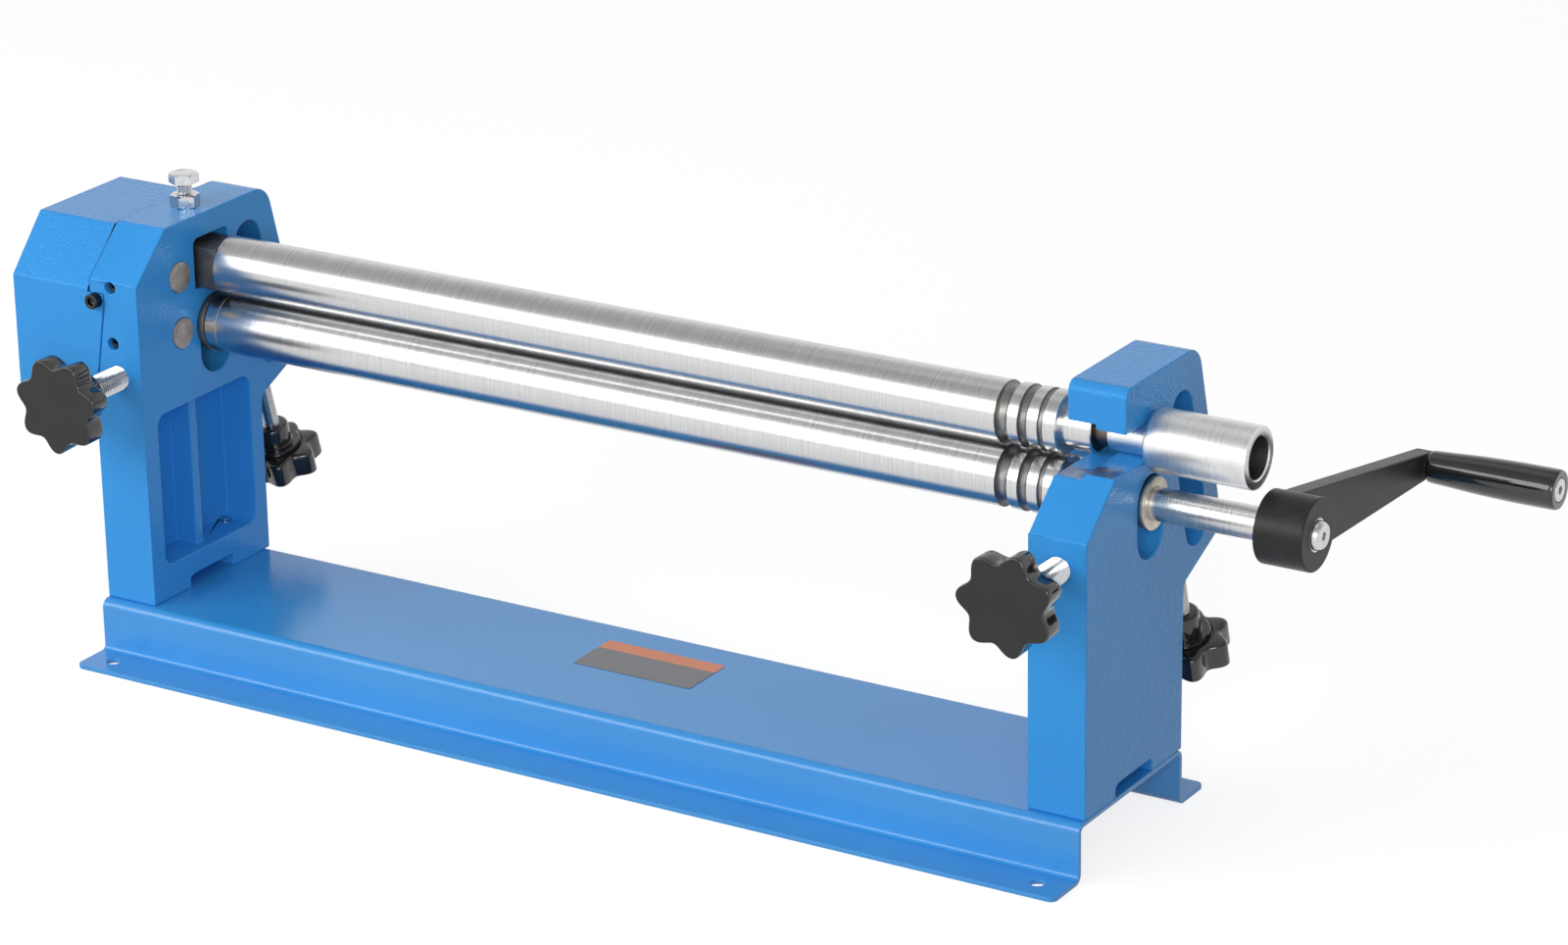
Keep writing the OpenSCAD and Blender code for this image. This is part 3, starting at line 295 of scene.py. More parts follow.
floatSocket = "NodeSocketFloat"
colorSocket = "NodeSocketColor"


# Orange peel of sprayed enamel: a rounded ripple, fewer coarse lumps, and a slow drift of the tone
def buildEnamelPeel():
    group, start, end = startGroup("enamelPeel", [
        ("Color", colorSocket, (0.05, 0.25, 0.65, 1)), ("Shade", colorSocket, (0.03, 0.18, 0.5, 1)),
        ("Ripple Size", floatSocket, 1.6), ("Lump Size", floatSocket, 5.0), ("Drift", floatSocket, 0.3),
        ("Roughness", floatSocket, 0.2)],
        [("Color", colorSocket), ("Height", floatSocket), ("Roughness", floatSocket)])
    links = group.links
    coords = addNode(group, "ShaderNodeTexCoord", -900, -300)
    scales = []
    for row, label in enumerate(("Ripple Size", "Lump Size")):
        divide = addNode(group, "ShaderNodeMath", -680, -120 * row, operation="DIVIDE")
        divide.inputs[0].default_value = 1000
        links.new(start.outputs[label], divide.inputs[1])
        scales.append(divide)
    ripple = addNode(group, "ShaderNodeTexNoise", -460, 0)
    lumps = addNode(group, "ShaderNodeTexNoise", -460, -220)
    drift = addNode(group, "ShaderNodeTexNoise", -460, -440)
    setInputs(ripple, {"Detail": 1.5, "Roughness": 0.45})
    setInputs(lumps, {"Detail": 2.0, "Roughness": 0.5})
    setInputs(drift, {"Scale": 9.0, "Detail": 3.0})
    for node in (ripple, lumps, drift):
        links.new(coords.outputs["Object"], node.inputs["Vector"])
    links.new(scales[0].outputs[0], ripple.inputs["Scale"])
    links.new(scales[1].outputs[0], lumps.inputs["Scale"])
    height = addNode(group, "ShaderNodeMath", -220, -60, operation="MULTIPLY_ADD")
    height.inputs[1].default_value = 0.6
    links.new(lumps.outputs["Fac"], height.inputs[0])
    links.new(ripple.outputs["Fac"], height.inputs[2])
    links.new(height.outputs[0], end.inputs["Height"])
    spread = addNode(group, "ShaderNodeMapRange", -220, -380)
    setInputs(spread, {"From Min": 0.35, "From Max": 0.65})
    links.new(drift.outputs["Fac"], spread.inputs["Value"])
    amount = addNode(group, "ShaderNodeMath", 0, -300, operation="MULTIPLY")
    links.new(spread.outputs["Result"], amount.inputs[0])
    links.new(start.outputs["Drift"], amount.inputs[1])
    mix = addNode(group, "ShaderNodeMix", 240, 60, data_type="RGBA")
    links.new(amount.outputs[0], mix.inputs["Factor"])
    links.new(start.outputs["Color"], mix.inputs["A"])
    links.new(start.outputs["Shade"], mix.inputs["B"])
    links.new(mix.outputs["Result"], end.inputs["Color"])
    rough = addNode(group, "ShaderNodeMath", 240, -200, operation="MULTIPLY_ADD")
    rough.inputs[1].default_value = 0.08
    links.new(lumps.outputs["Fac"], rough.inputs[0])
    links.new(start.outputs["Roughness"], rough.inputs[2])
    links.new(rough.outputs[0], end.inputs["Roughness"])
    return group


# Tool marks on bare metal: fine lines, broad bands and cloudy stains, on Object coordinates stretched by Stretch
def buildToolMarks():
    group, start, end = startGroup("toolMarks", [
        ("Color", colorSocket, (0.6, 0.6, 0.6, 1)), ("Stain", colorSocket, (0.3, 0.28, 0.26, 1)),
        ("Stretch X", floatSocket, 1.0), ("Stretch YZ", floatSocket, 0.02), ("Line Scale", floatSocket, 2500.0),
        ("Stains", floatSocket, 0.2), ("Roughness", floatSocket, 0.25), ("Rough Spread", floatSocket, 0.12)],
        [("Color", colorSocket), ("Height", floatSocket), ("Roughness", floatSocket)])
    links = group.links
    coords = addNode(group, "ShaderNodeTexCoord", -900, -300)
    stretch = addNode(group, "ShaderNodeCombineXYZ", -700, 120)
    links.new(start.outputs["Stretch X"], stretch.inputs["X"])
    links.new(start.outputs["Stretch YZ"], stretch.inputs["Y"])
    links.new(start.outputs["Stretch YZ"], stretch.inputs["Z"])
    pulled = addNode(group, "ShaderNodeVectorMath", -500, 60, operation="MULTIPLY")
    links.new(coords.outputs["Object"], pulled.inputs[0])
    links.new(stretch.outputs[0], pulled.inputs[1])
    lines = addNode(group, "ShaderNodeTexNoise", -300, 60)
    setInputs(lines, {"Detail": 4.0, "Roughness": 0.65})
    links.new(pulled.outputs[0], lines.inputs["Vector"])
    links.new(start.outputs["Line Scale"], lines.inputs["Scale"])
    clouds = addNode(group, "ShaderNodeTexNoise", -300, -200)
    setInputs(clouds, {"Scale": 70.0, "Detail": 6.0, "Roughness": 0.62, "Distortion": 0.3})
    links.new(coords.outputs["Object"], clouds.inputs["Vector"])
    links.new(lines.outputs["Fac"], end.inputs["Height"])
    mask = addNode(group, "ShaderNodeMapRange", -80, -200)
    setInputs(mask, {"From Min": 0.42, "From Max": 0.72})
    links.new(clouds.outputs["Fac"], mask.inputs["Value"])
    amount = addNode(group, "ShaderNodeMath", 120, -200, operation="MULTIPLY")
    links.new(mask.outputs["Result"], amount.inputs[0])
    links.new(start.outputs["Stains"], amount.inputs[1])
    lineMask = addNode(group, "ShaderNodeMapRange", -80, 240)
    setInputs(lineMask, {"From Min": 0.3, "From Max": 0.7, "To Min": 0.86, "To Max": 1.1})
    links.new(lines.outputs["Fac"], lineMask.inputs["Value"])
    mix = addNode(group, "ShaderNodeMix", 300, 160, data_type="RGBA")
    links.new(amount.outputs[0], mix.inputs["Factor"])
    links.new(start.outputs["Color"], mix.inputs["A"])
    links.new(start.outputs["Stain"], mix.inputs["B"])
    tone = addNode(group, "ShaderNodeVectorMath", 480, 160, operation="SCALE")
    links.new(mix.outputs["Result"], tone.inputs[0])
    links.new(lineMask.outputs["Result"], tone.inputs["Scale"])
    links.new(tone.outputs[0], end.inputs["Color"])
    rough = addNode(group, "ShaderNodeMath", 300, -120, operation="MULTIPLY_ADD")
    links.new(amount.outputs[0], rough.inputs[0])
    links.new(start.outputs["Rough Spread"], rough.inputs[1])
    roughLines = addNode(group, "ShaderNodeMath", 120, -20, operation="MULTIPLY_ADD")
    links.new(lines.outputs["Fac"], roughLines.inputs[0])
    links.new(start.outputs["Rough Spread"], roughLines.inputs[1])
    links.new(start.outputs["Roughness"], roughLines.inputs[2])
    links.new(roughLines.outputs[0], rough.inputs[2])
    links.new(rough.outputs[0], end.inputs["Roughness"])
    return group


enamelPeel = buildEnamelPeel()
toolMarks = buildToolMarks()


# A material that places one shared group and feeds the shader's own sockets
def makeMaterial(name, group, groupValues, shaderValues, bump):
    material = bpy.data.materials.new(name)
    material.use_nodes = True
    tree = material.node_tree
    shader = tree.nodes["Principled BSDF"]
    setInputs(shader, shaderValues)
    marks = addNode(tree, "ShaderNodeGroup", -500, 100, node_tree=group)
    setInputs(marks, groupValues)
    tree.links.new(marks.outputs["Color"], shader.inputs["Base Color"])
    tree.links.new(marks.outputs["Roughness"], shader.inputs["Roughness"])
    relief = addNode(tree, "ShaderNodeBump", -240, -200)
    setInputs(relief, {"Strength": bump[0], "Distance": bump[1] * mm})
    tree.links.new(marks.outputs["Height"], relief.inputs["Height"])
    tree.links.new(relief.outputs["Normal"], shader.inputs["Normal"])
    return material


enamelLooks = {
    "castBlue": {"color": (0.045, 0.33, 0.79, 1), "shade": (0.038, 0.29, 0.73, 1), "ripple": 1.6, "lumps": 6.0,
                 "roughness": 0.06, "ior": 1.35, "tint": (0.35, 0.65, 1.0, 1), "bump": (1.0, 0.35)},
    "sheetBlue": {"color": (0.043, 0.315, 0.74, 1), "shade": (0.038, 0.285, 0.7, 1), "ripple": 1.3, "lumps": 7.0,
                  "roughness": 0.11, "ior": 1.5, "tint": (1, 1, 1, 1), "bump": (0.7, 0.14)},
}
# Painted shade: a near-black copy of the cast enamel for the faces in the gap between gear cover and frame
enamelLooks["seamShade"] = {**enamelLooks["castBlue"], "color": (0.006, 0.03, 0.09, 1),
                            "shade": (0.004, 0.02, 0.06, 1), "roughness": 0.5}
enamel = {}
for name, look in enamelLooks.items():
    enamel[name] = makeMaterial(
        name, enamelPeel,
        {"Color": look["color"], "Shade": look["shade"], "Ripple Size": look["ripple"], "Lump Size": look["lumps"],
         "Drift": 0.6, "Roughness": look["roughness"]},
        {"Metallic": 0.0, "IOR": look["ior"], "Specular Tint": look["tint"], "Coat Weight": 0.0}, look["bump"])

# Bare metals: colour, stain colour, stretch along X and across, line scale, stain share, roughness, spread, bump
metalLooks = {
    "rollSteel": ((0.61, 0.61, 0.61), (0.5, 0.49, 0.48), 1.0, 0.02, 1000, 0.2, 0.21, 0.05, (0.04, 0.02)),
    "grooveSteel": ((0.30, 0.29, 0.28), (0.12, 0.11, 0.1), 1.0, 0.02, 2500, 0.8, 0.3, 0.2, (0.25, 0.03)),
    "neckSteel": ((0.17, 0.145, 0.125), (0.07, 0.055, 0.045), 1.0, 0.02, 2500, 0.8, 0.32, 0.1, (0.3, 0.03)),
    "handleSteel": ((0.78, 0.78, 0.78), (0.55, 0.55, 0.55), 1.0, 0.03, 1200, 0.45, 0.28, 0.12, (0.15, 0.03)),
    "boreSteel": ((0.22, 0.22, 0.22), (0.05, 0.05, 0.05), 1.0, 0.03, 1500, 0.9, 0.35, 0.2, (0.6, 0.08)),
    "shaftSteel": ((0.7, 0.69, 0.68), (0.46, 0.44, 0.43), 1.0, 0.02, 900, 0.25, 0.24, 0.06, (0.03, 0.02)),
    "rawPin": ((0.52, 0.47, 0.43), (0.26, 0.23, 0.23), 0.3, 1.0, 900, 1.0, 0.48, 0.15, (0.6, 0.05)),
    "darkBlock": ((0.2, 0.185, 0.17), (0.08, 0.073, 0.066), 0.3, 1.0, 600, 0.7, 0.4, 0.15, (0.4, 0.04)),
    "zincPlate": ((0.62, 0.63, 0.64), (0.52, 0.52, 0.51), 1.0, 1.0, 300, 0.1, 0.16, 0.04, (0.02, 0.02)),
    "blackScrew": ((0.045, 0.045, 0.05), (0.02, 0.02, 0.02), 1.0, 1.0, 900, 0.4, 0.25, 0.1, (0.2, 0.02)),
    "bushMetal": ((0.58, 0.53, 0.46), (0.3, 0.26, 0.22), 1.0, 1.0, 700, 0.6, 0.3, 0.15, (0.3, 0.03)),
    "wornSeat": ((0.3, 0.35, 0.42), (0.05, 0.21, 0.52), 1.0, 1.0, 900, 1.6, 0.3, 0.2, (0.5, 0.06)),
    "gearSteel": ((0.35, 0.34, 0.33), (0.18, 0.17, 0.16), 1.0, 1.0, 900, 0.5, 0.3, 0.1, (0.3, 0.03)),
}
metal = {}
for name, (color, stain, stretchX, stretchYZ, lineScale, stains, roughness, spread, bump) in metalLooks.items():
    metal[name] = makeMaterial(
        name, toolMarks,
        {"Color": (*color, 1), "Stain": (*stain, 1), "Stretch X": stretchX, "Stretch YZ": stretchYZ,
         "Line Scale": lineScale, "Stains": stains, "Roughness": roughness, "Rough Spread": spread},
        {"Metallic": 1.0}, bump)

# Blacks that aren't bare metal: moulded knobs and grip, and the blackened crank
blackLooks = {
    "knobGloss": ((0.012, 0.012, 0.013), (0.02, 0.02, 0.02), 200, 0.08, 0.05, (0.05, 0.05), 0.5, 1.5),
    "knobFace": ((0.012, 0.0115, 0.012), (0.02, 0.019, 0.019), 700, 0.33, 0.1, (0.2, 0.03), 0.0, 1.42),
    "gripGloss": ((0.010, 0.010, 0.011), (0.016, 0.016, 0.016), 120, 0.06, 0.05, (0.04, 0.05), 0.6, 1.5),
    "crankBlack": ((0.018, 0.018, 0.018), (0.036, 0.036, 0.036), 800, 0.3, 0.12, (0.5, 0.05), 0.0, 1.32),
}
for name, (color, stain, lineScale, roughness, spread, bump, coat, ior) in blackLooks.items():
    metal[name] = makeMaterial(
        name, toolMarks,
        {"Color": (*color, 1), "Stain": (*stain, 1), "Stretch X": 1.0, "Stretch YZ": 1.0, "Line Scale": lineScale,
         "Stains": 0.6, "Roughness": roughness, "Rough Spread": spread},
        {"Metallic": 0.0, "IOR": ior, "Coat Weight": coat, "Coat Roughness": 0.05}, bump)
print("materials made:", len(enamel) + len(metal))

# Castings: copies of the CAD solids with their edges rounded the way paint and moulding sand leave them
castings = {
    "leftFrame": {"node": "left_frame", "edge": 0.9, "material": "castBlue"},
    "rightFrame": {"node": "right_frame", "edge": 1.0, "material": "castBlue"},
    "gearCover": {"node": "gear_cover", "edge": 0.7, "material": "castBlue"},
    "basePlate": {"node": "base_plate", "edge": 0.5, "material": "sheetBlue"},
}
# In metres: the arch over the base, the cover's face, which stands back a little further here, and the worn seats.
# The seam gets painted shade between these places along X, in mm: a near-black enamel where light hardly reaches into
# the gap.
castingMarks = {"archTop": 45 * mm, "archRound": 4 * mm, "coverFace": -358.9 * mm, "coverGap": 0.6 * mm,
                "seam": {"gearCover": (-359.5, -358.5), "leftFrame": (-358.01, -357.05)}, "seamFoot": 168 * mm,
                "seat": {"low": 233 * mm, "high": 238 * mm, "front": -24 * mm, "rear": -9 * mm}}


# Worn patches on the flats where the top roll drops into the mouth
def wearSeats(bm, look):
    def isSeat(face):
        return face.normal.z > 0.99 and look["low"] < face.calc_center_median().z < look["high"]

    for cut in (look["front"], look["rear"]):
        faces = [f for f in bm.faces if isSeat(f)]
        geom = list({v for f in faces for v in f.verts}) + list({e for f in faces for e in f.edges}) + faces
        bmesh.ops.bisect_plane(bm, geom=geom, plane_co=(0, cut, 0), plane_no=(0, 1, 0))
    for face in bm.faces:
        if isSeat(face) and look["front"] < face.calc_center_median().y < look["rear"]:
            face.material_index = 2


for name, row in castings.items():
    bm = mergedCopy(row["node"])
    if row["node"].endswith("_frame"):
        corners = [e for e in bm.edges if all(abs(v.co.z - castingMarks["archTop"]) < 0.1 * mm for v in e.verts)
                   and abs(e.verts[0].co.x - e.verts[1].co.x) > 20 * mm]
        roundEdges(bm, corners, castingMarks["archRound"], 6)
    bm = easeCasting(bm, row["edge"] * mm)
    if name == "gearCover":
        for vert in bm.verts:
            if vert.co.x > castingMarks["coverFace"]:
                vert.co.x -= castingMarks["coverGap"]
    # Faces in the gap between cover and frame take the painted shade material
    if name in castingMarks["seam"]:
        start, end = castingMarks["seam"][name]
        for face in bm.faces:
            if all(start < v.co.x / mm < end and v.co.z > castingMarks["seamFoot"] for v in face.verts):
                face.material_index = 1
    if name == "rightFrame":
        wearSeats(bm, castingMarks["seat"])
    makePiece(name, bm, "stand", [enamel[row["material"]], enamel["seamShade"], metal["wornSeat"]],
              [row["node"]], weighted=True)
print("castings eased")

# Rolls
rollLook = {
    "radius": 19, "half": 305.5, "edge": 1.0, "grooves": ((36.7, 8.4), (22.6, 6.4), (10.8, 3.6)),
    "stubEnd": -387.8, "stubRadius": 7, "stubChamfer": 0.8, "journalEnd": -357, "journal": 8.5,
    "lowLeft": -315, "ringLine": -305.5, "ringDepth": 0.4,
}


# Rows of a half-round groove, cut into the barrel at x
def grooveRows(x, width, radius, steps=10):
    half = width / 2
    return [(x - half * math.cos(math.pi * k / steps), radius - half * math.sin(math.pi * k / steps))
            for k in range(steps + 1)]


# The left end of a driven roll: the stub that carries its gear, then the journal up to a place along X
def gearEndRows(look, end):
    chamfer = look["stubChamfer"]
    return [(look["stubEnd"], 0), (look["stubEnd"], look["stubRadius"] - chamfer),
            (look["stubEnd"] + chamfer, look["stubRadius"]), (look["journalEnd"], look["stubRadius"]),
            (look["journalEnd"], look["journal"]), (end, look["journal"])]


def barrelRows(left, look):
    radius, half, edge = look["radius"], look["half"], look["edge"]
    rows = [(left, radius - edge), (left + edge, radius)]
    for fromEnd, width in look["grooves"]:
        rows += grooveRows(half - fromEnd, width, radius)
    return rows + [(half - edge, radius), (half, radius - edge)]


# Gives faces of a bmesh another material by where they are along X and how far from an axis
def paintFaces(bm, index, x0, x1, y, z, r0, r1):
    for face in bm.faces:
        middle = face.calc_center_median()
        if x0 * mm <= middle.x <= x1 * mm and r0 * mm <= math.hypot(middle.y - y, middle.z - z) <= r1 * mm:
            face.material_index = index


def paintGrooves(bm, index, look, z):
    for fromEnd, width in look["grooves"]:
        x = look["half"] - fromEnd
        paintFaces(bm, index, x - width / 2, x + width / 2, axes["rollY"], z, 0, look["radius"] - 0.15)


topRollLook = {"mouthJournal": 14, "neck": 9.5, "lipJournal": 11, "neckStart": 325.5, "neckEnd": 334.5,
               "handleStart": 360.1, "handleEnd": 427.1, "handleRound": 4, "bore": 13, "boreDepth": 34, "point": 7}
look = topRollLook
rows = gearEndRows(rollLook, -rollLook["half"]) + barrelRows(-rollLook["half"], rollLook)
rows += [(rollLook["half"], look["mouthJournal"]), (look["neckStart"] - 0.6, look["mouthJournal"]),
         (look["neckStart"], look["mouthJournal"] - 0.6), (look["neckStart"], look["neck"]),
         (look["neckEnd"], look["neck"]), (look["neckEnd"], look["lipJournal"] - 0.5),
         (look["neckEnd"] + 0.5, look["lipJournal"]), (look["handleStart"], look["lipJournal"])]
turnRadius = look["handleRound"]
rows += [(look["handleStart"] + turnRadius - turnRadius * math.cos(math.pi / 2 * k / 8),
          rollLook["radius"] - turnRadius + turnRadius * math.sin(math.pi / 2 * k / 8)) for k in range(9)]
rows += [(look["handleEnd"] - 1.0, rollLook["radius"]), (look["handleEnd"] - 0.3, rollLook["radius"] - 0.3),
         (look["handleEnd"], rollLook["radius"] - 1.0), (look["handleEnd"], look["bore"] + 0.8),
         (look["handleEnd"] - 0.8, look["bore"]), (look["handleEnd"] - look["boreDepth"], look["bore"]),
         (look["handleEnd"] - look["boreDepth"] - look["point"], 0)]
bm = turned(rows, alongX(0, axes["rollY"], axes["topZ"]), steps=128)
paintGrooves(bm, 1, rollLook, axes["topZ"])
paintFaces(bm, 2, look["neckStart"], look["neckEnd"], axes["rollY"], axes["topZ"], 0, 13.6)
paintFaces(bm, 3, look["handleStart"] - 25, look["handleEnd"], axes["rollY"], axes["topZ"], 10.5, 25)
paintFaces(bm, 4, look["handleEnd"] - 45, look["handleEnd"], axes["rollY"], axes["topZ"], 0, look["bore"] + 0.1)
makePiece("topRoll", bm, "top_drive",
          [metal[k] for k in ("rollSteel", "grooveSteel", "neckSteel", "handleSteel", "boreSteel")], ["top_roll"])

lowRollLook = {"shoulder": 14.3, "shoulderEnd": 319.7, "shaft": 10, "shaftEnd": 464.7}
look = lowRollLook
barrel = barrelRows(rollLook["lowLeft"], rollLook)
line, depth, radius = rollLook["ringLine"], rollLook["ringDepth"], rollLook["radius"]
rows = gearEndRows(rollLook, rollLook["lowLeft"]) + barrel[:2]
rows += [(line - depth, radius), (line, radius - depth), (line + depth, radius)] + barrel[2:]
rows += [(rollLook["half"], look["shoulder"]), (look["shoulderEnd"], look["shoulder"]),
         (look["shoulderEnd"], look["shaft"]), (look["shaftEnd"], look["shaft"]), (look["shaftEnd"], 0)]
bm = turned(rows, alongX(0, axes["rollY"], axes["lowZ"]), steps=128)
paintGrooves(bm, 1, rollLook, axes["lowZ"])
paintFaces(bm, 1, line - 0.45, line + 0.45, axes["rollY"], axes["lowZ"], 18, 18.95)
paintFaces(bm, 2, look["shoulderEnd"], look["shaftEnd"] + 1, axes["rollY"], axes["lowZ"], 0, 12)
makePiece("lowerRoll", bm, "lower_drive",
          [metal[k] for k in ("rollSteel", "grooveSteel", "shaftSteel")], ["lower_roll"])

rearRollLook = {"down": 25, "stubEnd": 349.8, "stub": 8, "chamfer": 0.8, "shoulderEnd": 320, "shoulder": 12}
look = rearRollLook
rearCentre = slotPoint(0, look["down"] * mm)
half, radius, edge = rollLook["half"], rollLook["radius"], rollLook["edge"]
rows = [(-look["stubEnd"], 0), (-look["stubEnd"], look["stub"] - look["chamfer"]),
        (look["chamfer"] - look["stubEnd"], look["stub"]), (-look["shoulderEnd"], look["stub"]),
        (-look["shoulderEnd"], look["shoulder"]), (-half, look["shoulder"]), (-half, radius - edge),
        (edge - half, radius)]
rows += [(-x, r) for x, r in reversed(rows)]
bm = turned(rows, alongX(0, rearCentre.y, rearCentre.z), steps=128)
makePiece("rearRoll", bm, "bending_roll", [metal["rollSteel"]], ["rear_roll"])
print("rolls turned")

# Bearings
bm = easeCasting(mergedCopy("top_bearing_block"), 0.5 * mm, 2)
makePiece("swingBlock", bm, "swing_block", [metal["darkBlock"]], ["top_bearing_block"], weighted=True)

bushLooks = {
    "leftBush": {"node": "lower_left_bush", "material": "darkBlock", "slot": "dark_steel",
                 "rows": [(-357.7, 8.55), (-357.7, 15.3), (-319.7, 15.3), (-319.7, 19.3), (-315.3, 19.3),
                          (-315.3, 8.55)]},
    "rightBush": {"node": "lower_right_bush", "material": "bushMetal", "slot": "bronze",
                  "rows": [(320.3, 10.05), (320.3, 15.3), (358.3, 15.3), (358.3, 16), (361.3, 16), (361.3, 10.05)]},
}
for name, row in bushLooks.items():
    bm = turned(row["rows"], alongX(0, axes["rollY"], axes["lowZ"]), closed=True, easing=0.4)
    makePiece(name, bm, "lower_bearings", [metal[row["material"]]], [row["node"]])

rearBlockLook = {"inner": 320.3, "outer": 349.8, "bore": 8.05, "radius": 12.8, "easing": 0.6}
look = rearBlockLook
for side, name, node in ((-1, "rearBlockLeft", "rear_left_block"), (1, "rearBlockRight", "rear_right_block")):
    inner, outer = side * look["inner"], side * look["outer"]
    rows = [(inner, look["bore"]), (inner, look["radius"]), (outer, look["radius"]), (outer, look["bore"])]
    bm = turned(rows, alongX(0, rearCentre.y, rearCentre.z), closed=True, easing=look["easing"])
    makePiece(name, bm, "rear_bearings", [metal["darkBlock"]], [node])

idlerLook = {"y": -13.726, "upper": 247.35, "lower": 209.85, "radius": 10, "left": -387.8, "right": -319,
             "easing": 0.5}
look = idlerLook
rows = [(look["left"], 0), (look["left"], look["radius"]), (look["right"], look["radius"]), (look["right"], 0)]
for label in ("upper", "lower"):
    bm = turned(rows, alongX(0, look["y"] * mm, look[label] * mm), easing=look["easing"])
    makePiece(label + "IdlerPin", bm, "stand", [metal["rawPin"]], [label + "_idler_pin"])
print("bearings and pins made")


# A socket screw round local Z: the rim of its head at the head height, the hexagon sunk into it
def socketScrew(headRadius, headHeight, flats, sink, shank, length, place, into=None):
    inner = flats / 2 / math.cos(math.pi / 6) + 0.35
    rings = [roundRing(shank, -length), roundRing(shank, 0)] if length else []
    rings += [roundRing(headRadius - 0.2, 0), roundRing(headRadius, 0.2), roundRing(headRadius, headHeight - 0.7),
              roundRing(headRadius - 0.2, headHeight - 0.25), roundRing(headRadius - 0.6, headHeight),
              roundRing(inner, headHeight), hexRing(flats, headHeight - 0.35), hexRing(flats, headHeight - sink),
              roundRing(flats * 0.1, headHeight - sink - flats * 0.2)]
    return ringStack(rings, place, into=into)


screwLook = {"head": 4.95, "height": 6, "flats": 5, "sink": 3, "shank": 3, "length": 14,
             "places": (((-352.5, -58, 240), (0, -1, 0), 0.2), ((-361, 64, 274), (-1, 0, 0), 0.5))}
look = screwLook
bm = None
for spot, direction, spin in look["places"]:
    bm = socketScrew(look["head"], look["height"], look["flats"], look["sink"], look["shank"], look["length"],
                     standAt([c * mm for c in spot], direction, spin), into=bm)
makePiece("coverScrews", bm, "stand", [metal["blackScrew"]], ["cover_screws"])

setScrewLook = {"x": -341.3, "front": -54, "end": -24.13, "rise": 2, "radius": 3.98, "socket": 8, "flats": 4,
                "sink": 4, "shank": 3.4, "spins": {"upper": 0.3, "lower": 0.9}}
look = setScrewLook
bm = None
for label, spin in look["spins"].items():
    height = idlerLook[label] + look["rise"]
    place = standAt((look["x"] * mm, look["front"] * mm, height * mm), (0, -1, 0), spin)
    bm = socketScrew(look["radius"], look["socket"], look["flats"], look["sink"], look["shank"],
                     look["end"] - look["front"] - look["socket"],
                     place @ Matrix.Translation((0, 0, -look["socket"] * mm)), into=bm)
makePiece("idlerSetScrews", bm, "stand", [metal["blackScrew"]], ["idler_set_screws"])

# Swing bolt with its jam nut
boltLook = {"flats": 17, "nutFoot": 283, "nutHeight": 8, "headFoot": 298.5, "headHeight": 6.5, "radius": 5,
            "pitch": 1.5, "tip": 262.8, "dog": 259.4, "dogRadius": 3.5, "nutSpin": 0.25, "headSpin": 0.05,
            "faceHeight": 0.4, "faceRadii": (7.6, 7.9)}
look = boltLook


def boltPlace(height, spin=0.0):
    return standAt((-axes["frameX"], axes["rollY"], height * mm), (0, 0, 1), spin)


lift = look["faceHeight"]
inner, outer = look["faceRadii"]
bm = hexHead(look["flats"], look["headHeight"] - lift, boltPlace(look["headFoot"] + lift, look["headSpin"]))
turned([(0, 0), (0, inner), (lift + 0.05, outer), (lift + 0.05, 0)], boltPlace(look["headFoot"]), into=bm)
threaded(look["radius"], look["pitch"], look["headFoot"] - look["tip"] + 0.2, boltPlace(look["tip"]), into=bm)
dogEnd = look["tip"] - look["dog"] + 0.3
turned([(0, 0), (0, look["dogRadius"]), (dogEnd, look["dogRadius"]), (dogEnd, 0)], boltPlace(look["dog"]), easing=0.3,
       into=bm)
makePiece("swingBolt", bm, "stand", [metal["zincPlate"]], ["swing_bolt"])
bm = hexHead(look["flats"], look["nutHeight"], boltPlace(look["nutFoot"], look["nutSpin"]),
             hole=look["radius"] + 0.03, bothEnds=True)
makePiece("swingBoltNut", bm, "stand", [metal["zincPlate"]], ["swing_bolt_nut"])

# Bolts and washers that hold the frames from under the base
baseBolts = {"flats": 13, "head": 5.3, "foot": 27.1, "tip": 61, "radius": 4, "pitch": 1.25, "overlap": 0.3,
             "washer": 1.6, "washerRadius": 8, "washerBore": 4.02, "frontY": -37, "rearY": 43}
look = baseBolts
seat = look["foot"] + look["head"]
washerRows = [(0, look["washerBore"]), (0, look["washerRadius"]), (look["washer"], look["washerRadius"]),
              (look["washer"], look["washerBore"])]
bm = None
washers = None
for x in (-axes["frameX"], axes["frameX"]):
    for y in (look["frontY"] * mm, look["rearY"] * mm):
        bm = hexHead(look["flats"], look["head"], standAt((x, y, seat * mm), (0, 0, -1), x + y), into=bm)
        threaded(look["radius"], look["pitch"], look["tip"] - seat + look["overlap"],
                 standAt((x, y, (seat - look["overlap"]) * mm), (0, 0, 1)), steps=20, into=bm)
        washers = turned(washerRows, standAt((x, y, seat * mm), (0, 0, 1)), steps=64, closed=True, easing=0.25,
                         into=washers)
makePiece("frameBolts", bm, "stand", [metal["zincPlate"]], ["frame_bolts"])
makePiece("frameWashers", washers, "stand", [metal["zincPlate"]], ["frame_washers"])
print("screws made")

# Threaded studs and star knobs: in mm, "outer" and "start" lie along Y in front and down the slot behind
knobShape = {"lobe": 6.5, "lobes": 7, "thick": 16, "collar": 3, "bossEnd": 33, "round": 1.3, "faceInset": 9,
             "backRound": 2.6, "backDraft": 0.25, "bossRound": 2.2, "boreDepth": 20}
knobLooks = {
    "front": {**knobShape, "radius": 31.5, "collarRadius": 19, "boss": 13.5, "bore": 8.02, "outer": -121},
    "rear": {**knobShape, "radius": 29.5, "collarRadius": 17, "boss": 11.5, "bore": 6.02, "outer": 179.5},
}
studLooks = {
    "front": {"radius": 8, "pitch": 2, "start": -115, "end": 6.685},
    "rear": {"radius": 6, "pitch": 1.75, "start": 173.5, "end": 42.4},
}
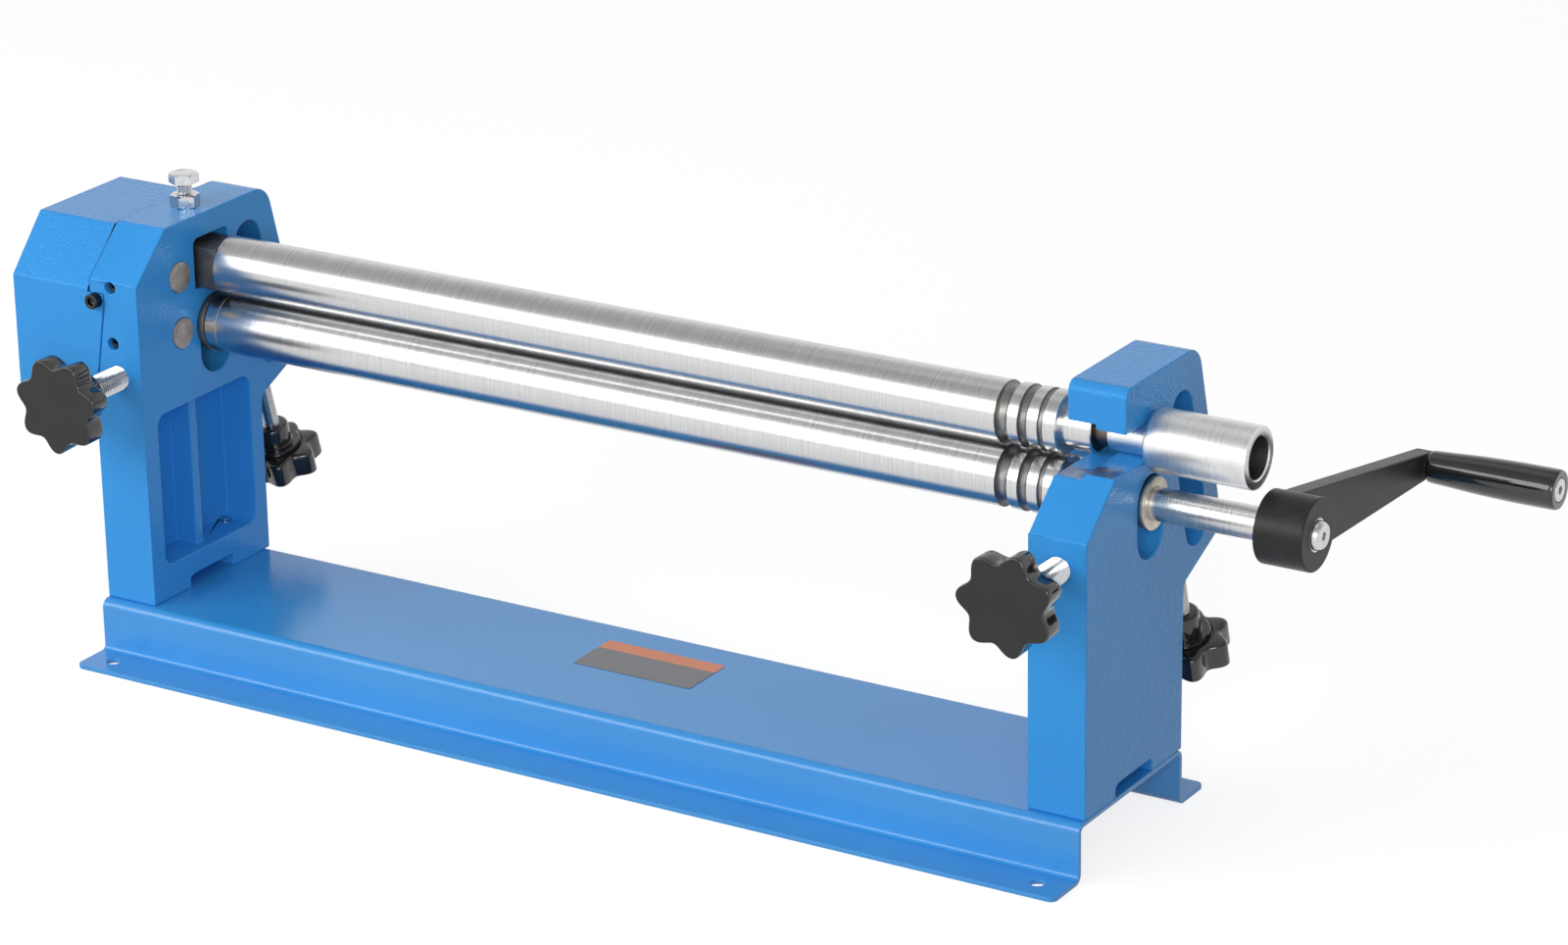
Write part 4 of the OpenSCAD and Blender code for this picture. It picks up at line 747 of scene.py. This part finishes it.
# Name, node, kind, side and the angle of the first lobe
knobPlaces = [("leftFront", "left_front", "front", -1, -11.6), ("rightFront", "right_front", "front", 1, -23.4),
              ("leftRear", "left_rear", "rear", -1, 0.0), ("rightRear", "right_rear", "rear", 1, 0.0)]


def starRing(look, phase, inset, height):
    mean = look["radius"] - look["lobe"] / 2

    def shape(angle):
        return mean + look["lobe"] / 2 * math.cos(look["lobes"] * (angle - phase)) - inset, height
    return shape


# The outer face lies at 0 and the boss points up local Z
def starKnob(look, phase, place):
    thick, turn, back, draft = look["thick"], look["round"], look["backRound"], look["backDraft"]
    quarter = [math.pi / 2 * k / 4 for k in range(5)]
    rings = [starRing(look, phase, look["faceInset"], 0), starRing(look, phase, turn + 0.5, 0)]
    rings += [starRing(look, phase, turn * (1 - math.sin(a)), turn * (1 - math.cos(a))) for a in quarter]
    rings += [starRing(look, phase, draft + back * (1 - math.cos(a)), thick - back + back * math.sin(a))
              for a in quarter]
    collar, boss, top, bend = look["collarRadius"], look["boss"], look["bossEnd"], look["bossRound"]
    step = thick + look["collar"]
    rings += [roundRing(collar + 1.6, thick), roundRing(collar + 0.9, thick - 0.9),
              roundRing(collar + 0.2, thick - 0.9), roundRing(collar, step - 0.6), roundRing(collar - 0.6, step),
              roundRing(boss + 0.8, step), roundRing(boss, step + 0.8)]
    rings += [roundRing(boss - bend * (1 - math.cos(a)), top - bend + bend * math.sin(a)) for a in quarter]
    bottom = top - look["boreDepth"]
    rings += [roundRing(look["bore"], top), roundRing(look["bore"], bottom), roundRing(0.5, bottom)]
    return ringStack(rings, place, count=168)


# The CAD turns its front screws with Rx(-90), so their lobes count from +X towards -Z
def screwPlace(kind, x, along):
    if kind == "front":
        return Matrix.Translation((x, along * mm, axes["studZ"])) @ Matrix.Rotation(-math.pi / 2, 4, "X")
    return Matrix.Translation(slotPoint(x, along * mm)) @ Matrix.Rotation(axes["slotTilt"], 4, "X")


for name, node, kind, side, phase in knobPlaces:
    look, stud = knobLooks[kind], studLooks[kind]
    x = side * axes["frameX"]
    place = screwPlace(kind, x, look["outer"])
    bm = starKnob(look, math.radians(phase), place)
    up = (place.to_3x3() @ Vector((0, 0, 1))).normalized()
    for face in bm.faces:
        if (face.calc_center_median() - place.translation).dot(up) < 0.2 * mm:
            face.material_index = 1
    makePiece(name + "Knob", bm, node + "_screw", [metal["knobGloss"], metal["knobFace"]],
              [node + "_knob"])
    bm = threaded(stud["radius"], stud["pitch"], abs(stud["end"] - stud["start"]), screwPlace(kind, x, stud["start"]))
    makePiece(name + "Stud", bm, node + "_screw", [metal["zincPlate"]], [node + "_stud"], sharpAngle=20)
print("knobs and studs made")

# Crank: a cast arm with its hub, a turned grip on a spindle, and the screw that holds the hub
bm = easeCasting(mergedCopy("crank_arm"), 1.0 * mm, 3, 30)
makePiece("crankArm", bm, "lower_drive", [metal["crankBlack"]], ["crank_arm"], weighted=True)

gripPlace = Matrix.Translation((0, axes["rollY"], axes["lowZ"])) @ Matrix.Rotation(-axes["crankTilt"], 4, "X") \
    @ Matrix.Translation((0, axes["crankReach"], 0)) @ Matrix.Rotation(math.pi / 2, 4, "Y")
# The profile's rows are a share of the grip's length and a radius in mm
gripLook = {"start": 451.5, "end": 535.5, "bore": 4.05, "seat": 7.55, "seatDepth": 3,
            "profile": ((0.0, 8.2), (0.006, 9.2), (0.016, 9.8), (0.035, 10.0), (0.1, 10.25), (0.2, 10.75),
                        (0.3, 11.3), (0.4, 11.75), (0.5, 12.05), (0.6, 12.3), (0.7, 12.45), (0.8, 12.5),
                        (0.88, 12.5), (0.95, 12.48), (0.98, 12.35), (0.992, 12.1), (1.0, 11.5))}
look = gripLook
start, end, seat, bore = look["start"], look["end"], look["seat"], look["bore"]
rows = [(start, bore)] + [(start + (end - start) * share, radius) for share, radius in look["profile"]]
rows += [(end, seat + 0.4), (end - 0.4, seat), (end - look["seatDepth"], seat), (end - look["seatDepth"], bore)]
bm = turned(rows, gripPlace, closed=True)
makePiece("crankGrip", bm, "grip", [metal["gripGloss"]], ["crank_grip"])

spindleLook = {"start": 438.5, "end": 533, "radius": 4, "head": 7.25, "headFoot": 532.8, "height": 2.9, "flats": 5,
               "sink": 2.4}
look = spindleLook
bm = turned([(look["start"], 0), (look["start"], look["radius"]), (look["end"], look["radius"]), (look["end"], 0)],
            gripPlace)
socketScrew(look["head"], look["height"], look["flats"], look["sink"], look["radius"], 0,
            gripPlace @ Matrix.Translation((0, 0, look["headFoot"] * mm)), into=bm)
makePiece("gripSpindle", bm, "lower_drive", [metal["zincPlate"]], ["grip_spindle"])

# The screw that holds the hub: round rings as radius and place along X, then its hexagon socket
crankScrewLook = {"rings": ((4, 444), (4, 465), (8.8, 465), (9, 465.3), (8.8, 466.4), (7.6, 468.6), (7.2, 469),
                            (3.4, 469)),
                  "socket": ((4.8, 468.7), (4.8, 466.9)), "bottom": (0.4, 466.2)}
look = crankScrewLook
rings = [roundRing(*ring) for ring in look["rings"]] + [hexRing(*ring) for ring in look["socket"]]
bm = ringStack(rings + [roundRing(*look["bottom"])], alongX(0, axes["rollY"], axes["lowZ"]))
makePiece("crankScrew", bm, "lower_drive", [metal["zincPlate"]], ["crank_screw"])
print("crank made")

# A blank plate on the base: a warm band above a grey field, with nothing written on it
plateLook = {"x": 9.8, "y": 17.0, "width": 86, "depth": 42, "thick": 0.35, "band": 0.3, "corner": 1.0}
look = plateLook
bm = bmesh.new()
bmesh.ops.create_grid(bm, x_segments=1, y_segments=1, size=0.5)
bmesh.ops.bevel(bm, geom=list(bm.verts), offset=look["corner"] / look["depth"], offset_type="OFFSET", segments=4,
                profile=0.5, affect="VERTICES", clamp_overlap=True, material=-1)
bmesh.ops.scale(bm, vec=(look["width"] * mm, look["depth"] * mm, 1), verts=bm.verts)
geom = list(bm.verts) + list(bm.edges) + list(bm.faces)
bandStart = (0.5 - look["band"]) * look["depth"] * mm
bmesh.ops.bisect_plane(bm, geom=geom, plane_co=(0, bandStart, 0), plane_no=(0, 1, 0))
grown = bmesh.ops.extrude_face_region(bm, geom=list(bm.faces))["geom"]
top = [g for g in grown if isinstance(g, bmesh.types.BMVert)]
bmesh.ops.translate(bm, vec=(0, 0, look["thick"] * mm), verts=top)
bmesh.ops.recalc_face_normals(bm, faces=bm.faces)
for face in bm.faces:
    if face.calc_center_median().y > bandStart:
        face.material_index = 1
bmesh.ops.translate(bm, vec=(look["x"] * mm, look["y"] * mm, axes["baseTop"]), verts=bm.verts)
plateColors = {"plateGrey": (0.13, 0.135, 0.15, 1), "plateWarm": (0.75, 0.2, 0.06, 1)}
plateMaterials = []
for name, color in plateColors.items():
    dark = tuple(c * 0.86 for c in color[:3]) + (1,)
    plateMaterials.append(makeMaterial(
        name, enamelPeel,
        {"Color": color, "Shade": dark, "Ripple Size": 0.6, "Lump Size": 9, "Drift": 0.5, "Roughness": 0.32},
        {"Metallic": 0.0, "IOR": 1.45, "Coat Weight": 0.3, "Coat Roughness": 0.2}, (0.15, 0.02)))
makePiece("blankPlate", bm, "stand", plateMaterials)

# The hidden pieces keep their CAD shape and get their metal
plainNodes = {
    "gearSteel": ["top_roll_gear", "upper_idler_gear", "lower_idler_gear", "lower_roll_gear", "top_gear_key",
                  "lower_gear_key", "crank_key"],
    "zincPlate": ["idler_retaining_rings", "top_gear_ring", "lower_gear_ring"],
    "darkBlock": ["left_front_cone", "right_front_cone", "left_rear_pad", "right_rear_pad"],
}
for name, members in plainNodes.items():
    for member in members:
        data = nodes[member].data
        data.materials.clear()
        data.materials.append(metal[name])
print("plain nodes finished")

# Studio: a pale floor, a plain world and soft lamps. The background is white at 1 for the rays that see it,
# and the ceiling is greyer, between two heights of the direction looked in.
studio = {
    "floorSize": 9.0, "floorColor": (0.3, 0.3, 0.303, 1), "floorLift": 0.8, "worldSoft": 0.38,
    "horizon": 1.0, "zenith": 0.5, "ceilingFrom": 0.4, "ceilingTo": 0.85,
    "key": {"at": (-1.25, -2.05, 1.3), "size": (2.8, 1.3), "power": 42},
    "top": {"at": (0.1, 0.25, 2.3), "size": (2.2, 0.9), "power": 2},
    "side": {"at": (1.55, -2.5, 1.1), "size": (1.2, 1.0), "power": 26},
}
target = Vector((0, 0, 0.16))


# 1 for the rays that see the background: the camera's, and those that metal and glass send on
def seenRays(tree, x, y):
    path = addNode(tree, "ShaderNodeLightPath", x, y)
    seen = path.outputs["Is Camera Ray"]
    for step, kind in enumerate(("Is Glossy Ray", "Is Transmission Ray")):
        either = addNode(tree, "ShaderNodeMath", x + 200 * (step + 1), y, operation="MAXIMUM")
        tree.links.new(seen, either.inputs[0])
        tree.links.new(path.outputs[kind], either.inputs[1])
        seen = either.outputs[0]
    return seen


bm = bmesh.new()
bmesh.ops.create_grid(bm, x_segments=1, y_segments=1, size=studio["floorSize"] / 2)
floorMesh = bpy.data.meshes.new("studioFloor")
bm.to_mesh(floorMesh)
bm.free()
floor = bpy.data.objects.new("studioFloor", floorMesh)
bpy.context.scene.collection.objects.link(floor)
floorMaterial = bpy.data.materials.new("floorPale")
floorMaterial.use_nodes = True
tree = floorMaterial.node_tree
shader = tree.nodes["Principled BSDF"]
setInputs(shader, {"Base Color": studio["floorColor"], "Roughness": 0.9, "Emission Color": (1, 1, 1, 1)})
lift = addNode(tree, "ShaderNodeMath", -300, -200, operation="MULTIPLY")
lift.inputs[1].default_value = studio["floorLift"]
tree.links.new(seenRays(tree, -900, -200), lift.inputs[0])
tree.links.new(lift.outputs[0], shader.inputs["Emission Strength"])
floorMesh.materials.append(floorMaterial)

world = bpy.data.worlds.new("studioWorld")
bpy.context.scene.world = world
world.use_nodes = True
tree = world.node_tree
backdrop = tree.nodes["Background"]
backdrop.inputs["Color"].default_value = (1, 1, 1, 1)
coords = addNode(tree, "ShaderNodeTexCoord", -900, -200)
parts = addNode(tree, "ShaderNodeSeparateXYZ", -700, -200)
tree.links.new(coords.outputs["Generated"], parts.inputs[0])
ramp = addNode(tree, "ShaderNodeMapRange", -500, -200)
setInputs(ramp, {"From Min": studio["ceilingFrom"], "From Max": studio["ceilingTo"],
                 "To Min": studio["horizon"], "To Max": studio["zenith"]})
tree.links.new(parts.outputs["Z"], ramp.inputs["Value"])
strength = addNode(tree, "ShaderNodeMix", -200, 0, data_type="FLOAT")
strength.inputs["A"].default_value = studio["worldSoft"]
tree.links.new(seenRays(tree, -900, 100), strength.inputs["Factor"])
tree.links.new(ramp.outputs["Result"], strength.inputs["B"])
tree.links.new(strength.outputs["Result"], backdrop.inputs["Strength"])

for name in ("key", "top", "side"):
    row = studio[name]
    lamp = bpy.data.lights.new(name + "Lamp", "AREA")
    lamp.shape = "RECTANGLE"
    lamp.size, lamp.size_y = row["size"]
    lamp.energy = row["power"]
    holder = bpy.data.objects.new(name + "Lamp", lamp)
    holder.location = row["at"]
    holder.rotation_euler = (target - Vector(row["at"])).to_track_quat("-Z", "Y").to_euler()
    bpy.context.scene.collection.objects.link(holder)

# Camera at the photograph's viewing angle
cameraLook = {"at": (1.6247, -2.4339, 1.2560), "yaw": 31.703, "pitch": 20.425, "roll": -0.861, "lens": 116.89}
look = cameraLook
yaw, pitch, roll = (math.radians(look[k]) for k in ("yaw", "pitch", "roll"))
sight = Vector((-math.sin(yaw) * math.cos(pitch), math.cos(yaw) * math.cos(pitch), -math.sin(pitch)))
levelRight = Vector((math.cos(yaw), math.sin(yaw), 0))
levelUp = levelRight.cross(sight)
right = levelRight * math.cos(roll) + levelUp * math.sin(roll)
up = levelUp * math.cos(roll) - levelRight * math.sin(roll)
cameraData = bpy.data.cameras.new("studioCamera")
cameraData.sensor_width = 36
cameraData.lens = look["lens"]
camera = bpy.data.objects.new("studioCamera", cameraData)
camera.matrix_world = Matrix((
    (right.x, up.x, -sight.x, look["at"][0]), (right.y, up.y, -sight.y, look["at"][1]),
    (right.z, up.z, -sight.z, look["at"][2]), (0, 0, 0, 1)))
bpy.context.scene.collection.objects.link(camera)
bpy.context.scene.camera = camera
bpy.context.scene.view_settings.view_transform = "Standard"
print("studio set")
